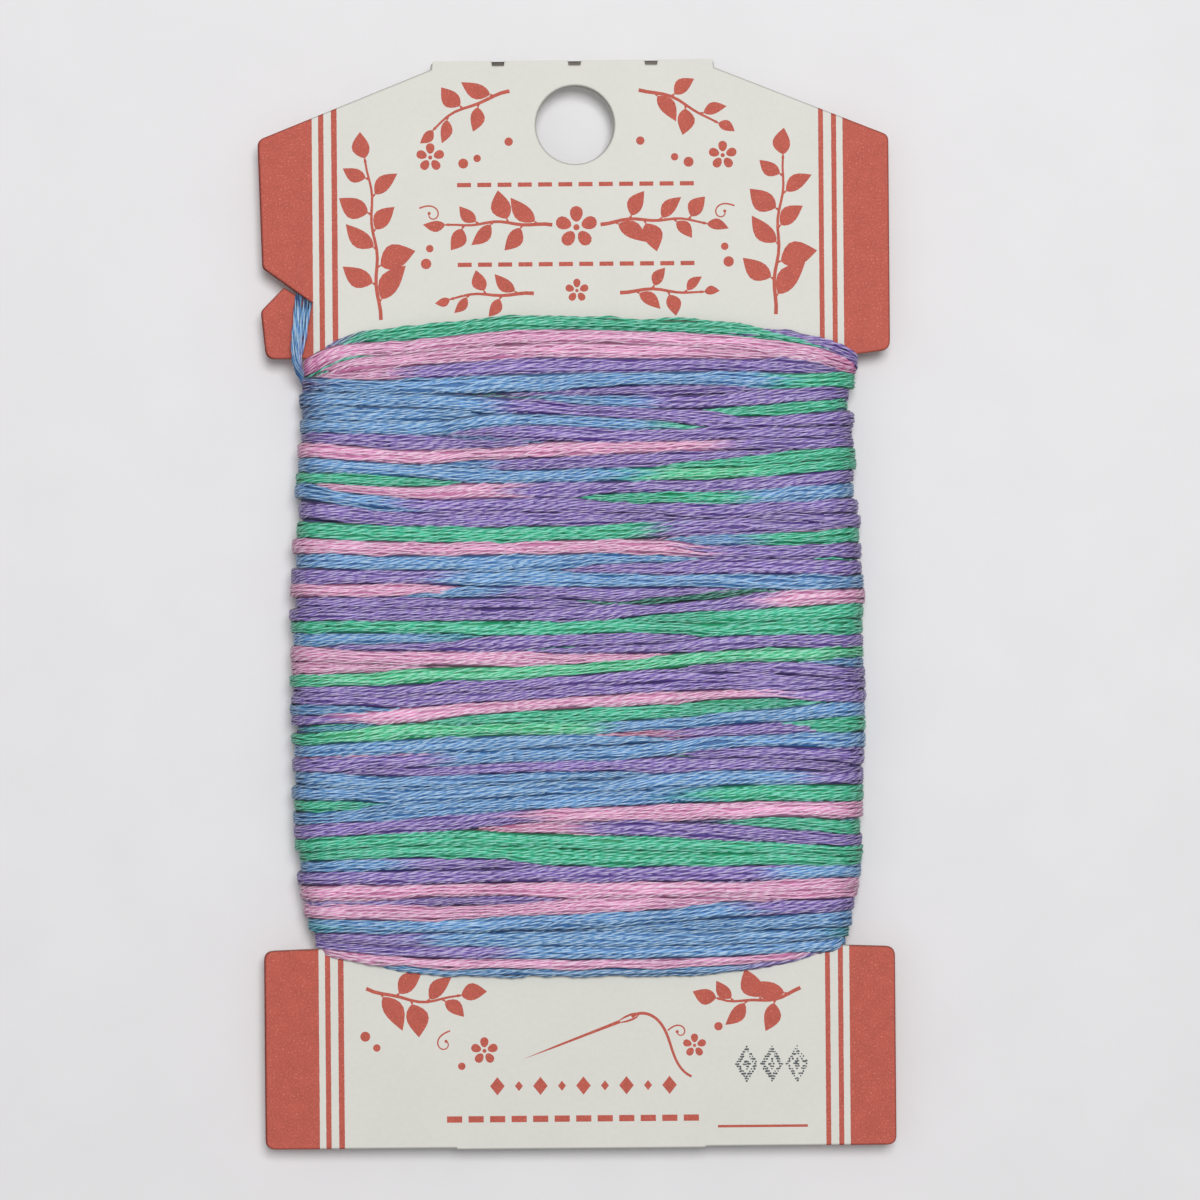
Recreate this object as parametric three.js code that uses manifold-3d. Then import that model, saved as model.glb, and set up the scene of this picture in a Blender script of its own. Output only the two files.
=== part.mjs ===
// A card of embroidery floss: a folded card blank with a hang hole and a thread notch, wound
// round its waist with six-strand cotton. Millimetres, +Z up. The card lies on its back with its
// front up, and the hang hole is towards +Y. The origin is on the surface that the winding rests
// on, under the middle of the card.
import * as THREE from "three";
import { mergeVertices } from "three/addons/utils/BufferGeometryUtils.js";
import Module from "manifold-3d";

const wasm = await Module();
wasm.setup();

// ---- driving dimensions ----
const clearance = 0.3;

const card = {
  halfWidth: 24.9,
  halfHeight: 43,
  thickness: 0.8,
  backHeight: 2.35,
  waistHalfWidth: 20.4,
  upperPanelFoot: 19.58,
  lowerPanelHead: -27.05,
  lowerPanelSlope: 0.15,
  shoulderFoot: 36.9,
  foldHalfWidth: 11.2,
  foldShoulder: 42.35,
  foldSlope: 0.1,
  smallCorner: 0.45,
  panelCorner: 0.75,
};

// The right tab's foot runs level from the waist and then rises to its rounded corner.
const rightTab = { levelTo: 22.2, rise: 0.35 };

const notch = {
  upperCorner: { x: -24.6, y: 26.8 },
  slitEnd: { x: -20.75, y: 24.0 },
  slitWidth: 0.16,
  tabApex: { x: -22.96, y: 25.22 },
  tabCorner: { x: -24.75, y: 23.4 },
  tabFoot: { x: -24.35, y: card.upperPanelFoot },
  softCorner: 0.3,
};

const hangHole = { x: 0.15, y: 37.9, radius: 3.1, segments: 40 };
const foldCuts = { places: [-5.9, 0.15, 6.2], width: 1.0, depth: 0.38, corner: 0.15 };

// Between its ends the bottom edge was torn from the sheet, and stands a little proud.
const tornEdge = { halfWidth: 9.9, proud: 0.12, slope: 0.1 };

const winding = {
  turns: 38,
  ridge: 0.16,
  topMiddle: 22.75,
  bottomMiddle: -29.45,
  topArch: 4,
  bottomBow: 3,
  endDepth: 2.3,
  crown: 0.2,
  flatStretches: 9,
  endStretches: 6,
};

// Stations from the first turn at the top to the last at the bottom. down is the share of the way,
// left and right are how far out the turns reach there, leftEnd and rightEnd are how high up the
// card they go round its edges, and front and back are how far the floss stands off the card.
const windingForm = [
  { down: 0.0, left: -21.15, right: 21.9, leftEnd: 17.75, rightEnd: 18.75, front: 0.7, back: 0.7 },
  { down: 0.04, left: -21.3, right: 22.1, leftEnd: 15.9, rightEnd: 16.9, front: 1.35, back: 1.5 },
  { down: 0.1, left: -21.75, right: 22.15, leftEnd: 13.1, rightEnd: 13.8, front: 1.85, back: 2.2 },
  { down: 0.2, left: -22.25, right: 22.3, leftEnd: 8.7, rightEnd: 9.1, front: 2.15, back: 2.4 },
  { down: 0.5, left: -22.3, right: 22.3, leftEnd: -4.6, rightEnd: -4.3, front: 2.25, back: 2.45 },
  { down: 0.8, left: -22.3, right: 22.3, leftEnd: -17.9, rightEnd: -17.7, front: 2.15, back: 2.4 },
  { down: 0.9, left: -21.9, right: 21.9, leftEnd: -22.3, rightEnd: -22.1, front: 1.85, back: 2.2 },
  { down: 0.96, left: -21.4, right: 21.3, leftEnd: -24.7, rightEnd: -24.5, front: 1.35, back: 1.5 },
  { down: 1.0, left: -20.7, right: 20.9, leftEnd: -26.3, rightEnd: -26.1, front: 0.7, back: 0.7 },
];

const looseEnd = { diameter: 1.0, sides: 8 };

// The free end, from where it leaves the winding's left side to the slit, and on from behind the
// slit to the end of the tail that lies under the card.
const frontRoute = [
  [-21.8, 15.8, 0.95],
  [-21.95, 16.6, 1.15],
  [-22.05, 17.35, 1.65],
  [-22.05, 18.0, 2.5],
  [-22.0, 18.6, 3.45],
  [-21.94, 19.25, 4.15],
  [-21.86, 20.1, 4.35],
  [-21.76, 21.1, 4.2],
  [-21.66, 22.1, 4.05],
  [-21.57, 23.1, 3.98],
];
const tailRoute = [
  [-21.45, 24.35, 2.0],
  [-21.42, 24.4, 1.55],
  [-21.15, 24.85, 1.0],
  [-20.6, 25.4, 0.65],
  [-19.7, 26.1, 0.54],
  [-18.5, 26.75, 0.54],
  [-17.2, 27.2, 0.54],
  [-15.8, 27.45, 0.54],
  [-14.4, 27.65, 0.54],
  [-13.0, 28.0, 0.54],
  [-11.7, 28.6, 0.54],
  [-10.6, 29.45, 0.54],
  [-9.7, 30.5, 0.54],
  [-8.9, 31.6, 0.54],
  [-7.9, 32.5, 0.54],
  [-6.7, 33.0, 0.54],
];

// ---- helpers ----
function material(colour, roughness) {
  return new THREE.MeshStandardMaterial({ color: colour, roughness, metalness: 0 });
}

function solidOf(geometry) {
  const bare = geometry.clone();
  bare.deleteAttribute("normal");
  bare.deleteAttribute("uv");
  const merged = mergeVertices(bare, 1e-4);
  return new wasm.Manifold(
    new wasm.Mesh({
      numProp: 3,
      vertProperties: merged.attributes.position.array,
      triVerts: new Uint32Array(merged.index.array),
    }),
  );
}

function geometryOf(solid) {
  const mesh = solid.getMesh();
  const geometry = new THREE.BufferGeometry();
  geometry.setAttribute("position", new THREE.BufferAttribute(new Float32Array(mesh.vertProperties), 3));
  geometry.setIndex(new THREE.BufferAttribute(new Uint32Array(mesh.triVerts), 1));
  return geometry;
}

function namedMesh(name, geometry, finish) {
  const mesh = new THREE.Mesh(geometry, finish);
  mesh.name = name;
  return mesh;
}

function mix(from, to, share) {
  return from + (to - from) * share;
}

// ---- the card ----

// Goes to the corner and round it, with a curve that starts and ends that far from the corner.
function roundedTo(path, corner, next, size) {
  const from = path.currentPoint;
  const before = new THREE.Vector2(corner.x - from.x, corner.y - from.y).normalize();
  const after = new THREE.Vector2(next.x - corner.x, next.y - corner.y).normalize();
  path.lineTo(corner.x - before.x * size, corner.y - before.y * size);
  path.quadraticCurveTo(corner.x, corner.y, corner.x + after.x * size, corner.y + after.y * size);
}

// The outline's corners in order, each with the size of its rounding.
function corner(x, y, size = 0) {
  return { x, y, size };
}

function leftNotchCorners() {
  const along = new THREE.Vector2(
    notch.slitEnd.x - notch.upperCorner.x,
    notch.slitEnd.y - notch.upperCorner.y,
  ).normalize();
  const lowerLip = {
    x: notch.slitEnd.x + along.y * notch.slitWidth,
    y: notch.slitEnd.y - along.x * notch.slitWidth,
  };
  return [
    corner(-card.waistHalfWidth, card.upperPanelFoot),
    corner(notch.tabFoot.x, notch.tabFoot.y, card.panelCorner),
    corner(notch.tabCorner.x, notch.tabCorner.y, notch.softCorner),
    corner(notch.tabApex.x, notch.tabApex.y),
    corner(lowerLip.x, lowerLip.y),
    corner(notch.slitEnd.x, notch.slitEnd.y),
    corner(notch.upperCorner.x, notch.upperCorner.y, notch.softCorner),
    corner(-card.halfWidth, card.shoulderFoot, card.smallCorner),
  ];
}

function foldEdgeCorners() {
  const top = card.halfHeight;
  const bottomOfCut = top - foldCuts.depth;
  const corners = [
    corner(-card.foldHalfWidth, card.foldShoulder),
    corner(-card.foldHalfWidth + card.foldSlope, top, notch.softCorner),
  ];
  for (const place of foldCuts.places) {
    const left = place - foldCuts.width / 2;
    const right = place + foldCuts.width / 2;
    corners.push(corner(left, top));
    corners.push(corner(left, bottomOfCut, foldCuts.corner));
    corners.push(corner(right, bottomOfCut, foldCuts.corner));
    corners.push(corner(right, top));
  }
  corners.push(corner(card.foldHalfWidth - card.foldSlope, top, notch.softCorner));
  corners.push(corner(card.foldHalfWidth, card.foldShoulder));
  return corners;
}

function rightSideCorners() {
  return [
    corner(card.halfWidth, card.shoulderFoot, card.smallCorner),
    corner(card.halfWidth, card.upperPanelFoot + rightTab.rise, card.panelCorner),
    corner(rightTab.levelTo, card.upperPanelFoot),
    corner(card.waistHalfWidth, card.upperPanelFoot),
    corner(card.waistHalfWidth, card.lowerPanelHead),
    corner(card.halfWidth, card.lowerPanelHead - card.lowerPanelSlope, card.panelCorner),
  ];
}

function bottomAndLeftCorners() {
  const low = -card.halfHeight;
  const cutEdge = low + tornEdge.proud;
  return [
    corner(card.halfWidth, cutEdge, card.panelCorner),
    corner(tornEdge.halfWidth, cutEdge),
    corner(tornEdge.halfWidth - tornEdge.slope, low),
    corner(-tornEdge.halfWidth + tornEdge.slope, low),
    corner(-tornEdge.halfWidth, cutEdge),
    corner(-card.halfWidth, cutEdge, card.panelCorner),
    corner(-card.halfWidth, card.lowerPanelHead - card.lowerPanelSlope, card.panelCorner),
    corner(-card.waistHalfWidth, card.lowerPanelHead),
  ];
}

function cardOutline() {
  const corners = [
    ...leftNotchCorners(),
    ...foldEdgeCorners(),
    ...rightSideCorners(),
    ...bottomAndLeftCorners(),
  ];
  const shape = new THREE.Shape();
  shape.moveTo(corners[0].x, corners[0].y);
  for (let i = 1; i < corners.length; i++) {
    const next = corners[(i + 1) % corners.length];
    if (corners[i].size > 0) roundedTo(shape, corners[i], next, corners[i].size);
    else shape.lineTo(corners[i].x, corners[i].y);
  }
  shape.closePath();
  return shape;
}

function cardSolid() {
  const outline = cardOutline();
  const slab = new THREE.ExtrudeGeometry(outline, {
    depth: card.thickness,
    bevelEnabled: false,
    curveSegments: 5,
  });
  slab.translate(0, 0, card.backHeight);
  const punch = new THREE.CylinderGeometry(
    hangHole.radius,
    hangHole.radius,
    card.thickness * 3,
    hangHole.segments,
  );
  punch.rotateX(Math.PI / 2);
  punch.translate(hangHole.x, hangHole.y, card.backHeight + card.thickness / 2);
  return solidOf(slab).subtract(solidOf(punch));
}

// ---- the winding ----

function formAt(down) {
  const above = Math.max(0, windingForm.findLastIndex((row) => row.down <= down));
  const a = windingForm[above];
  const b = windingForm[Math.min(above + 1, windingForm.length - 1)];
  const share = b.down > a.down ? (down - a.down) / (b.down - a.down) : 0;
  const blended = {};
  for (const column of Object.keys(a)) blended[column] = mix(a[column], b[column], share);
  return blended;
}

// How far down the card a turn lies at x: its ends are held by the notches, and the turns near
// the top arch up and those near the bottom bow down between them.
function turnHeight(form, down, x) {
  const middle = mix(winding.topMiddle, winding.bottomMiddle, down);
  const end = x < 0 ? form.leftEnd : form.rightEnd;
  const reach = x < 0 ? x / form.left : x / form.right;
  const power = mix(winding.topArch, winding.bottomBow, down);
  return mix(middle, end, Math.min(1, reach) ** power);
}

// One closed section through the winding, as points round a turn: along the front, round the
// right end, along the back and round the left end.
function turnSection(down, proud) {
  const form = formAt(down);
  const front = card.backHeight + card.thickness + form.front + proud;
  const back = card.backHeight - form.back - proud;
  const leftStart = form.left + winding.endDepth;
  const rightStart = form.right - winding.endDepth;
  const points = [];
  const place = (x, z) => points.push([x, turnHeight(form, down, x), Math.max(0, z)]);
  for (let i = 0; i <= winding.flatStretches; i++) {
    const x = mix(leftStart, rightStart, i / winding.flatStretches);
    place(x, front + winding.crown * (1 - (x / rightStart) ** 2));
  }
  for (let i = 1; i < winding.endStretches; i++) {
    const angle = (Math.PI * i) / winding.endStretches;
    const reach = winding.endDepth + proud;
    place(rightStart + reach * Math.sin(angle), mix(back, front, (1 + Math.cos(angle)) / 2));
  }
  for (let i = 0; i <= winding.flatStretches; i++) {
    const x = mix(rightStart, leftStart, i / winding.flatStretches);
    place(x, back - winding.crown * (1 - (x / rightStart) ** 2));
  }
  for (let i = 1; i < winding.endStretches; i++) {
    const angle = (Math.PI * i) / winding.endStretches;
    const reach = winding.endDepth + proud;
    place(leftStart - reach * Math.sin(angle), mix(front, back, (1 + Math.cos(angle)) / 2));
  }
  return points;
}

// Sections joined into one skin, closed at the top and the bottom by a fan from the middle.
function skinOf(sections) {
  const positions = sections.flat(2);
  const ring = sections[0].length;
  const faces = [];
  for (let s = 0; s + 1 < sections.length; s++) {
    for (let i = 0; i < ring; i++) {
      const a = s * ring + i;
      const b = s * ring + ((i + 1) % ring);
      faces.push(a, a + ring, b, b, a + ring, b + ring);
    }
  }
  for (const [first, flip] of [[0, false], [(sections.length - 1) * ring, true]]) {
    const centre = positions.length / 3;
    const section = sections[first / ring];
    positions.push(...[0, 1, 2].map((k) => section.reduce((sum, p) => sum + p[k], 0) / ring));
    for (let i = 0; i < ring; i++) {
      const a = first + i;
      const b = first + ((i + 1) % ring);
      faces.push(...(flip ? [b, a, centre] : [a, b, centre]));
    }
  }
  const geometry = new THREE.BufferGeometry();
  geometry.setAttribute("position", new THREE.Float32BufferAttribute(positions, 3));
  geometry.setIndex(faces);
  return geometry;
}

// The room that the card takes inside the winding, with clearance all round.
function cardRoom() {
  const waist = card.waistHalfWidth + clearance;
  const wide = card.halfWidth + 2;
  const upper = card.upperPanelFoot - clearance;
  const lower = card.lowerPanelHead + clearance;
  const high = card.halfHeight;
  const outline = new THREE.Shape([
    new THREE.Vector2(-waist, lower),
    new THREE.Vector2(-wide, lower),
    new THREE.Vector2(-wide, -high),
    new THREE.Vector2(wide, -high),
    new THREE.Vector2(wide, lower),
    new THREE.Vector2(waist, lower),
    new THREE.Vector2(waist, upper),
    new THREE.Vector2(wide, upper),
    new THREE.Vector2(wide, high),
    new THREE.Vector2(-wide, high),
    new THREE.Vector2(-wide, upper),
    new THREE.Vector2(-waist, upper),
  ]);
  const room = new THREE.ExtrudeGeometry(outline, {
    depth: card.thickness + 2 * clearance,
    bevelEnabled: false,
  });
  room.translate(0, 0, card.backHeight - clearance);
  return solidOf(room);
}

function windingSolid() {
  const sections = [];
  for (let turn = 0; turn < winding.turns; turn++) {
    sections.push(turnSection(turn / winding.turns, 0));
    sections.push(turnSection((turn + 0.5) / winding.turns, winding.ridge));
  }
  sections.push(turnSection(1, 0));
  return solidOf(skinOf(sections)).subtract(cardRoom());
}

// ---- the free end ----

function cordSolid(route) {
  const line = new THREE.CatmullRomCurve3(route.map((p) => new THREE.Vector3(...p)), false, "centripetal");
  const section = new THREE.Shape();
  for (let i = 0; i < looseEnd.sides; i++) {
    const angle = (2 * Math.PI * i) / looseEnd.sides;
    const x = (looseEnd.diameter / 2) * Math.cos(angle);
    const y = (looseEnd.diameter / 2) * Math.sin(angle);
    if (i === 0) section.moveTo(x, y);
    else section.lineTo(x, y);
  }
  section.closePath();
  const steps = Math.max(8, Math.round(line.getLength() / looseEnd.diameter));
  return new THREE.ExtrudeGeometry(section, { extrudePath: line, steps, bevelEnabled: false });
}

const cardStock = material(0xdcdcd4, 0.75);
const woundFloss = material(0x9a7cc4, 0.6);
const blueFloss = material(0x7da7d4, 0.6);

const flossCard = new THREE.Group();
flossCard.add(namedMesh("card", geometryOf(cardSolid()), cardStock));
flossCard.add(namedMesh("winding", geometryOf(windingSolid()), woundFloss));
flossCard.add(namedMesh("loose_end", cordSolid(frontRoute), blueFloss));
flossCard.add(namedMesh("loose_end_tail", cordSolid(tailRoute), blueFloss));

export default flossCard;
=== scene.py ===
# Looks for a card of embroidery floss: printed card blank, wound floss and its free end.
# Lengths are in millimetres where a note says so, and in metres elsewhere.
import math

import bmesh
import bpy
import numpy as np
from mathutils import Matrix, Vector


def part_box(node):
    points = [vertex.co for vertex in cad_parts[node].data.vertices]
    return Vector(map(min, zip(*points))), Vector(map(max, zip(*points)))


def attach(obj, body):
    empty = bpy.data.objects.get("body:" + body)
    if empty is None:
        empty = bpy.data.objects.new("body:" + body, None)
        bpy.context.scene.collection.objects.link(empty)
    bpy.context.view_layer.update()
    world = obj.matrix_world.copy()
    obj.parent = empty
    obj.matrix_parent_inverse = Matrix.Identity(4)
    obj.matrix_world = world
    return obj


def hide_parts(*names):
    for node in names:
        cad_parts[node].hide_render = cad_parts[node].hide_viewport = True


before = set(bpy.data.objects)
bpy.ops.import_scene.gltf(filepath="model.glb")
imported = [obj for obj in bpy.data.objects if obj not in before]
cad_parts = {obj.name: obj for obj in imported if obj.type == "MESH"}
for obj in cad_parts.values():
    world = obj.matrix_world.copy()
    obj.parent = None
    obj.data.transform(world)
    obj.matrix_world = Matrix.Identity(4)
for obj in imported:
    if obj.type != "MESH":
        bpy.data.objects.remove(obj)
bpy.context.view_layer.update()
mm = 0.001
cardLow, cardHigh = (Vector(corner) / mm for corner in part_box("card"))
print("frame loaded")


# camera: straight above the card, very slightly rolled
cameraView = {
    "lens": 100, "distance": 0.2633, "aimX": 0.00182, "aimY": 0.00034, "clipStart": 0.005,
    "roll": -0.47,  # degrees
}


def addCamera():
    height = cardHigh.z * mm + cameraView["distance"]
    bpy.ops.object.camera_add(
        location=(cameraView["aimX"], cameraView["aimY"], height),
        rotation=(0, 0, math.radians(cameraView["roll"])),
    )
    camera = bpy.context.object
    camera.name = "viewCamera"
    camera.data.lens = cameraView["lens"]
    camera.data.clip_start = cameraView["clipStart"]
    bpy.context.scene.camera = camera


addCamera()
print("camera placed")


# helpers for meshes and for smooth lines of points
def makeActive(piece):
    bpy.ops.object.select_all(action="DESELECT")
    piece.select_set(True)
    bpy.context.view_layer.objects.active = piece


def newPiece(name, mesh):
    piece = bpy.data.objects.new(name, mesh)
    bpy.context.collection.objects.link(piece)
    return piece


def pieceFrom(name, points, faces):
    mesh = bpy.data.meshes.new(name)
    mesh.from_pydata(points, [], faces)
    return newPiece(name, mesh)


def colour(red, green, blue):
    # a colour given on a 0-255 scale, as the renderer wants it
    parts = []
    for value in (red, green, blue):
        share = value / 255
        parts.append(share / 12.92 if share <= 0.04045 else ((share + 0.055) / 1.055) ** 2.4)
    return (*parts, 1.0)


def ramp(values, start, end):
    # 0 at the start and 1 at the end, level past both
    return np.clip((values - start) / (end - start), 0, 1)


def ease(share):
    return share * share * (3 - 2 * share)


def smoothed(rows):
    # each row averaged over nine neighbouring values
    padded = np.pad(rows, ((0, 0), (4, 4)), mode="edge")
    return np.stack([np.convolve(row, np.ones(9) / 9, mode="valid") for row in padded])


def runAlong(line):
    # how far along the line each of its points lies
    return np.concatenate([[0], np.cumsum(np.linalg.norm(np.diff(line, axis=0), axis=1))])


def smoothThrough(places, values, at):
    # an even curve through the values, level past both ends
    places, values = np.asarray(places, float), np.asarray(values, float)
    slopes = np.gradient(values, places)
    at = np.clip(at, places[0], places[-1])
    step = np.clip(np.searchsorted(places, at, side="right") - 1, 0, len(places) - 2)
    width = places[step + 1] - places[step]
    t = (at - places[step]) / width
    start, end = values[step], values[step + 1]
    startSlope, endSlope = slopes[step] * width, slopes[step + 1] * width
    return (
        start * (2 * t**3 - 3 * t**2 + 1) + startSlope * (t**3 - 2 * t**2 + t)
        + end * (3 * t**2 - 2 * t**3) + endSlope * (t**3 - t**2)
    )


def evenLine(points, spacing, fineSteps=1200):
    # points resampled along a smooth line, evenly spaced
    points = np.asarray(points, float)
    chords = np.sqrt(np.linalg.norm(np.diff(points, axis=0), axis=1))
    knots = np.concatenate([[0], np.cumsum(chords)])
    fine = np.linspace(0, knots[-1], fineSteps)
    dense = np.stack([smoothThrough(knots, points[:, k], fine) for k in range(3)], axis=1)
    run = runAlong(dense)
    wanted = np.linspace(0, run[-1], max(2, int(round(run[-1] / spacing)) + 1))
    return np.stack([np.interp(wanted, run, dense[:, k]) for k in range(3)], axis=1)


def unit(vectors):
    return vectors / np.maximum(np.linalg.norm(vectors, axis=1, keepdims=True), 1e-12)


def slowWander(random, along, reach, amount):
    # a gentle random drift that changes about once in each reach
    count = int((along[-1] - along[0]) / reach) + 4
    knots = np.linspace(along[0] - reach, along[-1] + reach, count)
    return smoothThrough(knots, random.normal(0, amount, count), along)


# floss strands: each is three plies twisted together, as one grooved tube of six points a ring
strandShape = {
    "pitch": 3.2,  # mm, a full turn of the plies
    "ringsEachTurn": 7.4,
    "angles": (-60, 0, 60, 120, 180, 240),  # degrees round the tube; every other one is a groove
    "reach": (1, 0.6, 1, 0.6, 1, 0.6),  # of the strand's radius
    "grooveShadeDrop": 0.6,  # painted shade: how much deeper than its height a groove is painted
    # painted shade and highlight: how full and dark the dye is painted at these heights up the strand: over 1
    # is fuller, under 1 paler
    "heights": (0.1, 0.5, 0.72, 1.0), "paintedShadePowers": (1.75, 1.02, 0.68, 0.35),
}
ringStep = strandShape["pitch"] / strandShape["ringsEachTurn"]

# the darker of these are copies of the others with painted shade, for turns where they lie deep or go round
# an end
dyes = {
    "pink": colour(237, 180, 215),
    "rose": colour(206, 132, 170),
    "deepPink": colour(226, 142, 194),
    "mauve": colour(150, 108, 160),
    "purple": colour(150, 125, 199),
    "indigo": colour(90, 78, 145),
    "blue": colour(117, 171, 218),
    "teal": colour(64, 164, 186),
    "green": colour(64, 202, 162),
    "lightGreen": colour(98, 216, 168),
    "darkGreen": colour(30, 116, 92),
    "darkBlue": colour(64, 96, 160),
}


def newSkein():
    return {"points": [], "faces": [], "dyeAndPaintedLight": [], "uv": [], "count": 0}


def addTube(skein, ring, tint, run):
    # ring holds the six points of each step, turning from the side over the top
    rings, sides = ring.shape[:2]
    skein["points"].append(ring.reshape(-1, 3) * mm)
    skein["dyeAndPaintedLight"].append(np.clip(tint, 0, 1).reshape(-1, 3))
    first = skein["count"] + (np.arange(rings - 1) * sides)[:, None]
    here = np.arange(sides)[None, :]
    after = (here + 1) % sides
    quads = [first + here, first + after, first + sides + after, first + sides + here]
    skein["faces"].append(np.stack(quads, axis=-1).reshape(-1, 4))
    along = np.repeat(run[:-1, None], sides, axis=1)
    ahead = np.repeat(run[1:, None], sides, axis=1)
    low = np.repeat((np.arange(sides) / sides)[None, :], rings - 1, axis=0)
    high = low + 1 / sides
    corners = np.stack([np.stack([along, low], -1), np.stack([along, high], -1),
                        np.stack([ahead, high], -1), np.stack([ahead, low], -1)], axis=2)
    skein["uv"].append(corners.reshape(-1, 2))
    # two faces close each end
    final = (rings - 1) * sides
    for start, order in ((0, (3, 2, 1, 0)), (0, (5, 4, 3, 0)), (final, (0, 1, 2, 3)), (final, (0, 3, 4, 5))):
        skein["faces"].append(np.array([order]) + skein["count"] + start)
        skein["uv"].append(np.zeros((4, 2)))
    skein["count"] += rings * sides


def paintedShadeAndHighlight(dyeAndPaintedLight, height):
    # painted shade and highlight: fuller and darker in the depths, paler on the crests; height runs from 0 to
    # 1 up the strand
    return dyeAndPaintedLight ** np.interp(height, strandShape["heights"], strandShape["paintedShadePowers"])[..., None]


def addStrand(skein, line, out, radius, phase, dyeAndPaintedLight, pitch):
    # line and out in mm: the strand's middle, and the way out of the winding along it
    tangent = unit(np.gradient(line, axis=0))
    side = unit(np.cross(out, tangent))
    up = np.cross(tangent, side)
    run = runAlong(line)
    radius = np.broadcast_to(np.asarray(radius, float), run.shape)
    turn = phase - 2 * np.pi * run / pitch
    ring, tint = [], []
    for angle, reach in zip(strandShape["angles"], strandShape["reach"]):
        across = reach * np.cos(turn + math.radians(angle))
        rise = reach * np.sin(turn + math.radians(angle))
        ring.append(line + (radius * across)[:, None] * side + (radius * rise)[:, None] * up)
        # a groove is painted as lying lower, for painted shade
        sunk = strandShape["grooveShadeDrop"] if reach < 1 else 0
        tint.append(paintedShadeAndHighlight(dyeAndPaintedLight, (rise + 1) / 2 - sunk))
    addTube(skein, np.stack(ring, axis=1), np.stack(tint, axis=1), run)


def skeinMesh(name, skein):
    points = np.concatenate(skein["points"])
    faces = np.concatenate(skein["faces"])
    mesh = bpy.data.meshes.new(name)
    mesh.vertices.add(len(points))
    mesh.vertices.foreach_set("co", points.ravel())
    mesh.loops.add(faces.size)
    mesh.loops.foreach_set("vertex_index", faces.ravel())
    mesh.polygons.add(len(faces))
    mesh.polygons.foreach_set("loop_start", np.arange(0, faces.size, 4))
    mesh.update(calc_edges=True)
    uv = mesh.uv_layers.new(name="lay")
    uv.data.foreach_set("uv", np.concatenate(skein["uv"]).ravel())
    # the vertex colours hold each dye with its painted shade and highlights
    dyeAndPaintedLight = mesh.color_attributes.new(name="dyeAndPaintedLight", type="FLOAT_COLOR", domain="POINT")
    tint = np.concatenate(skein["dyeAndPaintedLight"])
    dyeAndPaintedLight.data.foreach_set("color", np.column_stack([tint, np.ones(len(tint))]).ravel())
    mesh.polygons.foreach_set("use_smooth", np.ones(len(faces), bool))
    mesh.validate()
    print(name, len(faces) * 2, "triangles")
    return newPiece(name, mesh)


# the free end: nine strands from the winding's left side, through the slit, to the tail
looseEnd = {
    "strandRadius": 0.145,  # mm
    "spacing": 0.2,  # mm between strands
    # mm off its middle for the lower and the upper strands, then where they lie across it, in spacings
    "layers": ((-0.15, (-1.5, 0.0, 1.5)), (0.08, (-2.1, -1.25, -0.4, 0.4, 1.25, 2.1))),
    "droop": 0.03,  # mm lower for each spacing away from the middle
    # how a strand strays sideways, bends, heaves and changes in light: over what length in mm, and how
    # much, in mm and for the light as a share
    "stray": (4.0, 0.04), "ripple": (1.4, 0.02), "heave": (3.0, 0.035), "unevenLight": (3.0, 0.1),
    "slitSlope": -0.55, "slitHeight": 24.35,  # mm up the card
    "bend": (-1.8, -0.4, 1.2, 2.6),  # mm from the slit: where its strands start and stop following the slope
    "shade": (-1.7, -0.7),  # mm from the slit: where painted shade darkens it
    # mm from the slit, and how far apart the strands lie there, in spacings
    "fan": ((-6.5, -5.2, -4.3, -2.8, -1.3, 0.0, 2.0, 4.0), (0.55, 0.8, 0.95, 1.1, 1.35, 1.4, 1.2, 1.0)),
    "length": 0.031, "diameter": 0.0012,
    "flatFrom": 17.6, "flatBy": 21.6,  # mm up the card: its broad side turns from the edge to the front here
    "edgeWay": (0.0, 0.66, -0.75), "frontWay": (1.0, 0.0, 0.0),  # along its broad side, before and after
    "underBelow": 1.2, "underPast": 24,  # mm: lower than this and past this it lies under the card
    "light": 0.85, "slitShadeDark": 0.5, "slitShadeFull": 1.1,  # how light it is, and how dark and full its painted shade is at the slit
    "lowFull": 0.35, "lowHeights": (20.5, 18.0),  # fuller low down; mm up the card
    "tinge": 0.35, "tingeHeights": (21.8, 19.8),  # purple shows through low down; mm up the card
    "tingedPast": 1.1,  # only in strands that lie further across than this, in spacings
    "twist": (1.3, 1.7),  # times the usual pitch
    "seed": 7,
    "route": [  # mm
        (-20.95, 15.8, 0.95), (-21.0, 16.6, 1.15), (-21.2, 17.35, 1.65), (-21.5, 18.0, 2.5),
        (-21.72, 18.6, 3.45), (-21.86, 19.25, 4.15), (-21.88, 20.1, 4.3), (-21.78, 21.1, 4.1),
        (-21.66, 22.1, 3.9), (-21.55, 23.0, 3.8), (-21.46, 23.8, 3.5), (-21.43, 24.25, 3.05),
        (-21.42, 24.42, 2.5), (-21.42, 24.45, 2.0), (-21.4, 24.5, 1.55), (-21.15, 24.85, 1.0),
        (-20.6, 25.4, 0.65), (-19.7, 26.1, 0.54), (-18.5, 26.75, 0.54), (-17.2, 27.2, 0.54),
        (-15.8, 27.45, 0.54), (-14.4, 27.65, 0.54), (-13.0, 28.0, 0.54), (-11.7, 28.6, 0.54),
        (-10.6, 29.45, 0.54), (-9.7, 30.5, 0.54), (-8.9, 31.6, 0.54), (-7.9, 32.5, 0.54),
        (-6.7, 33.0, 0.54),
    ],
}


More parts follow.
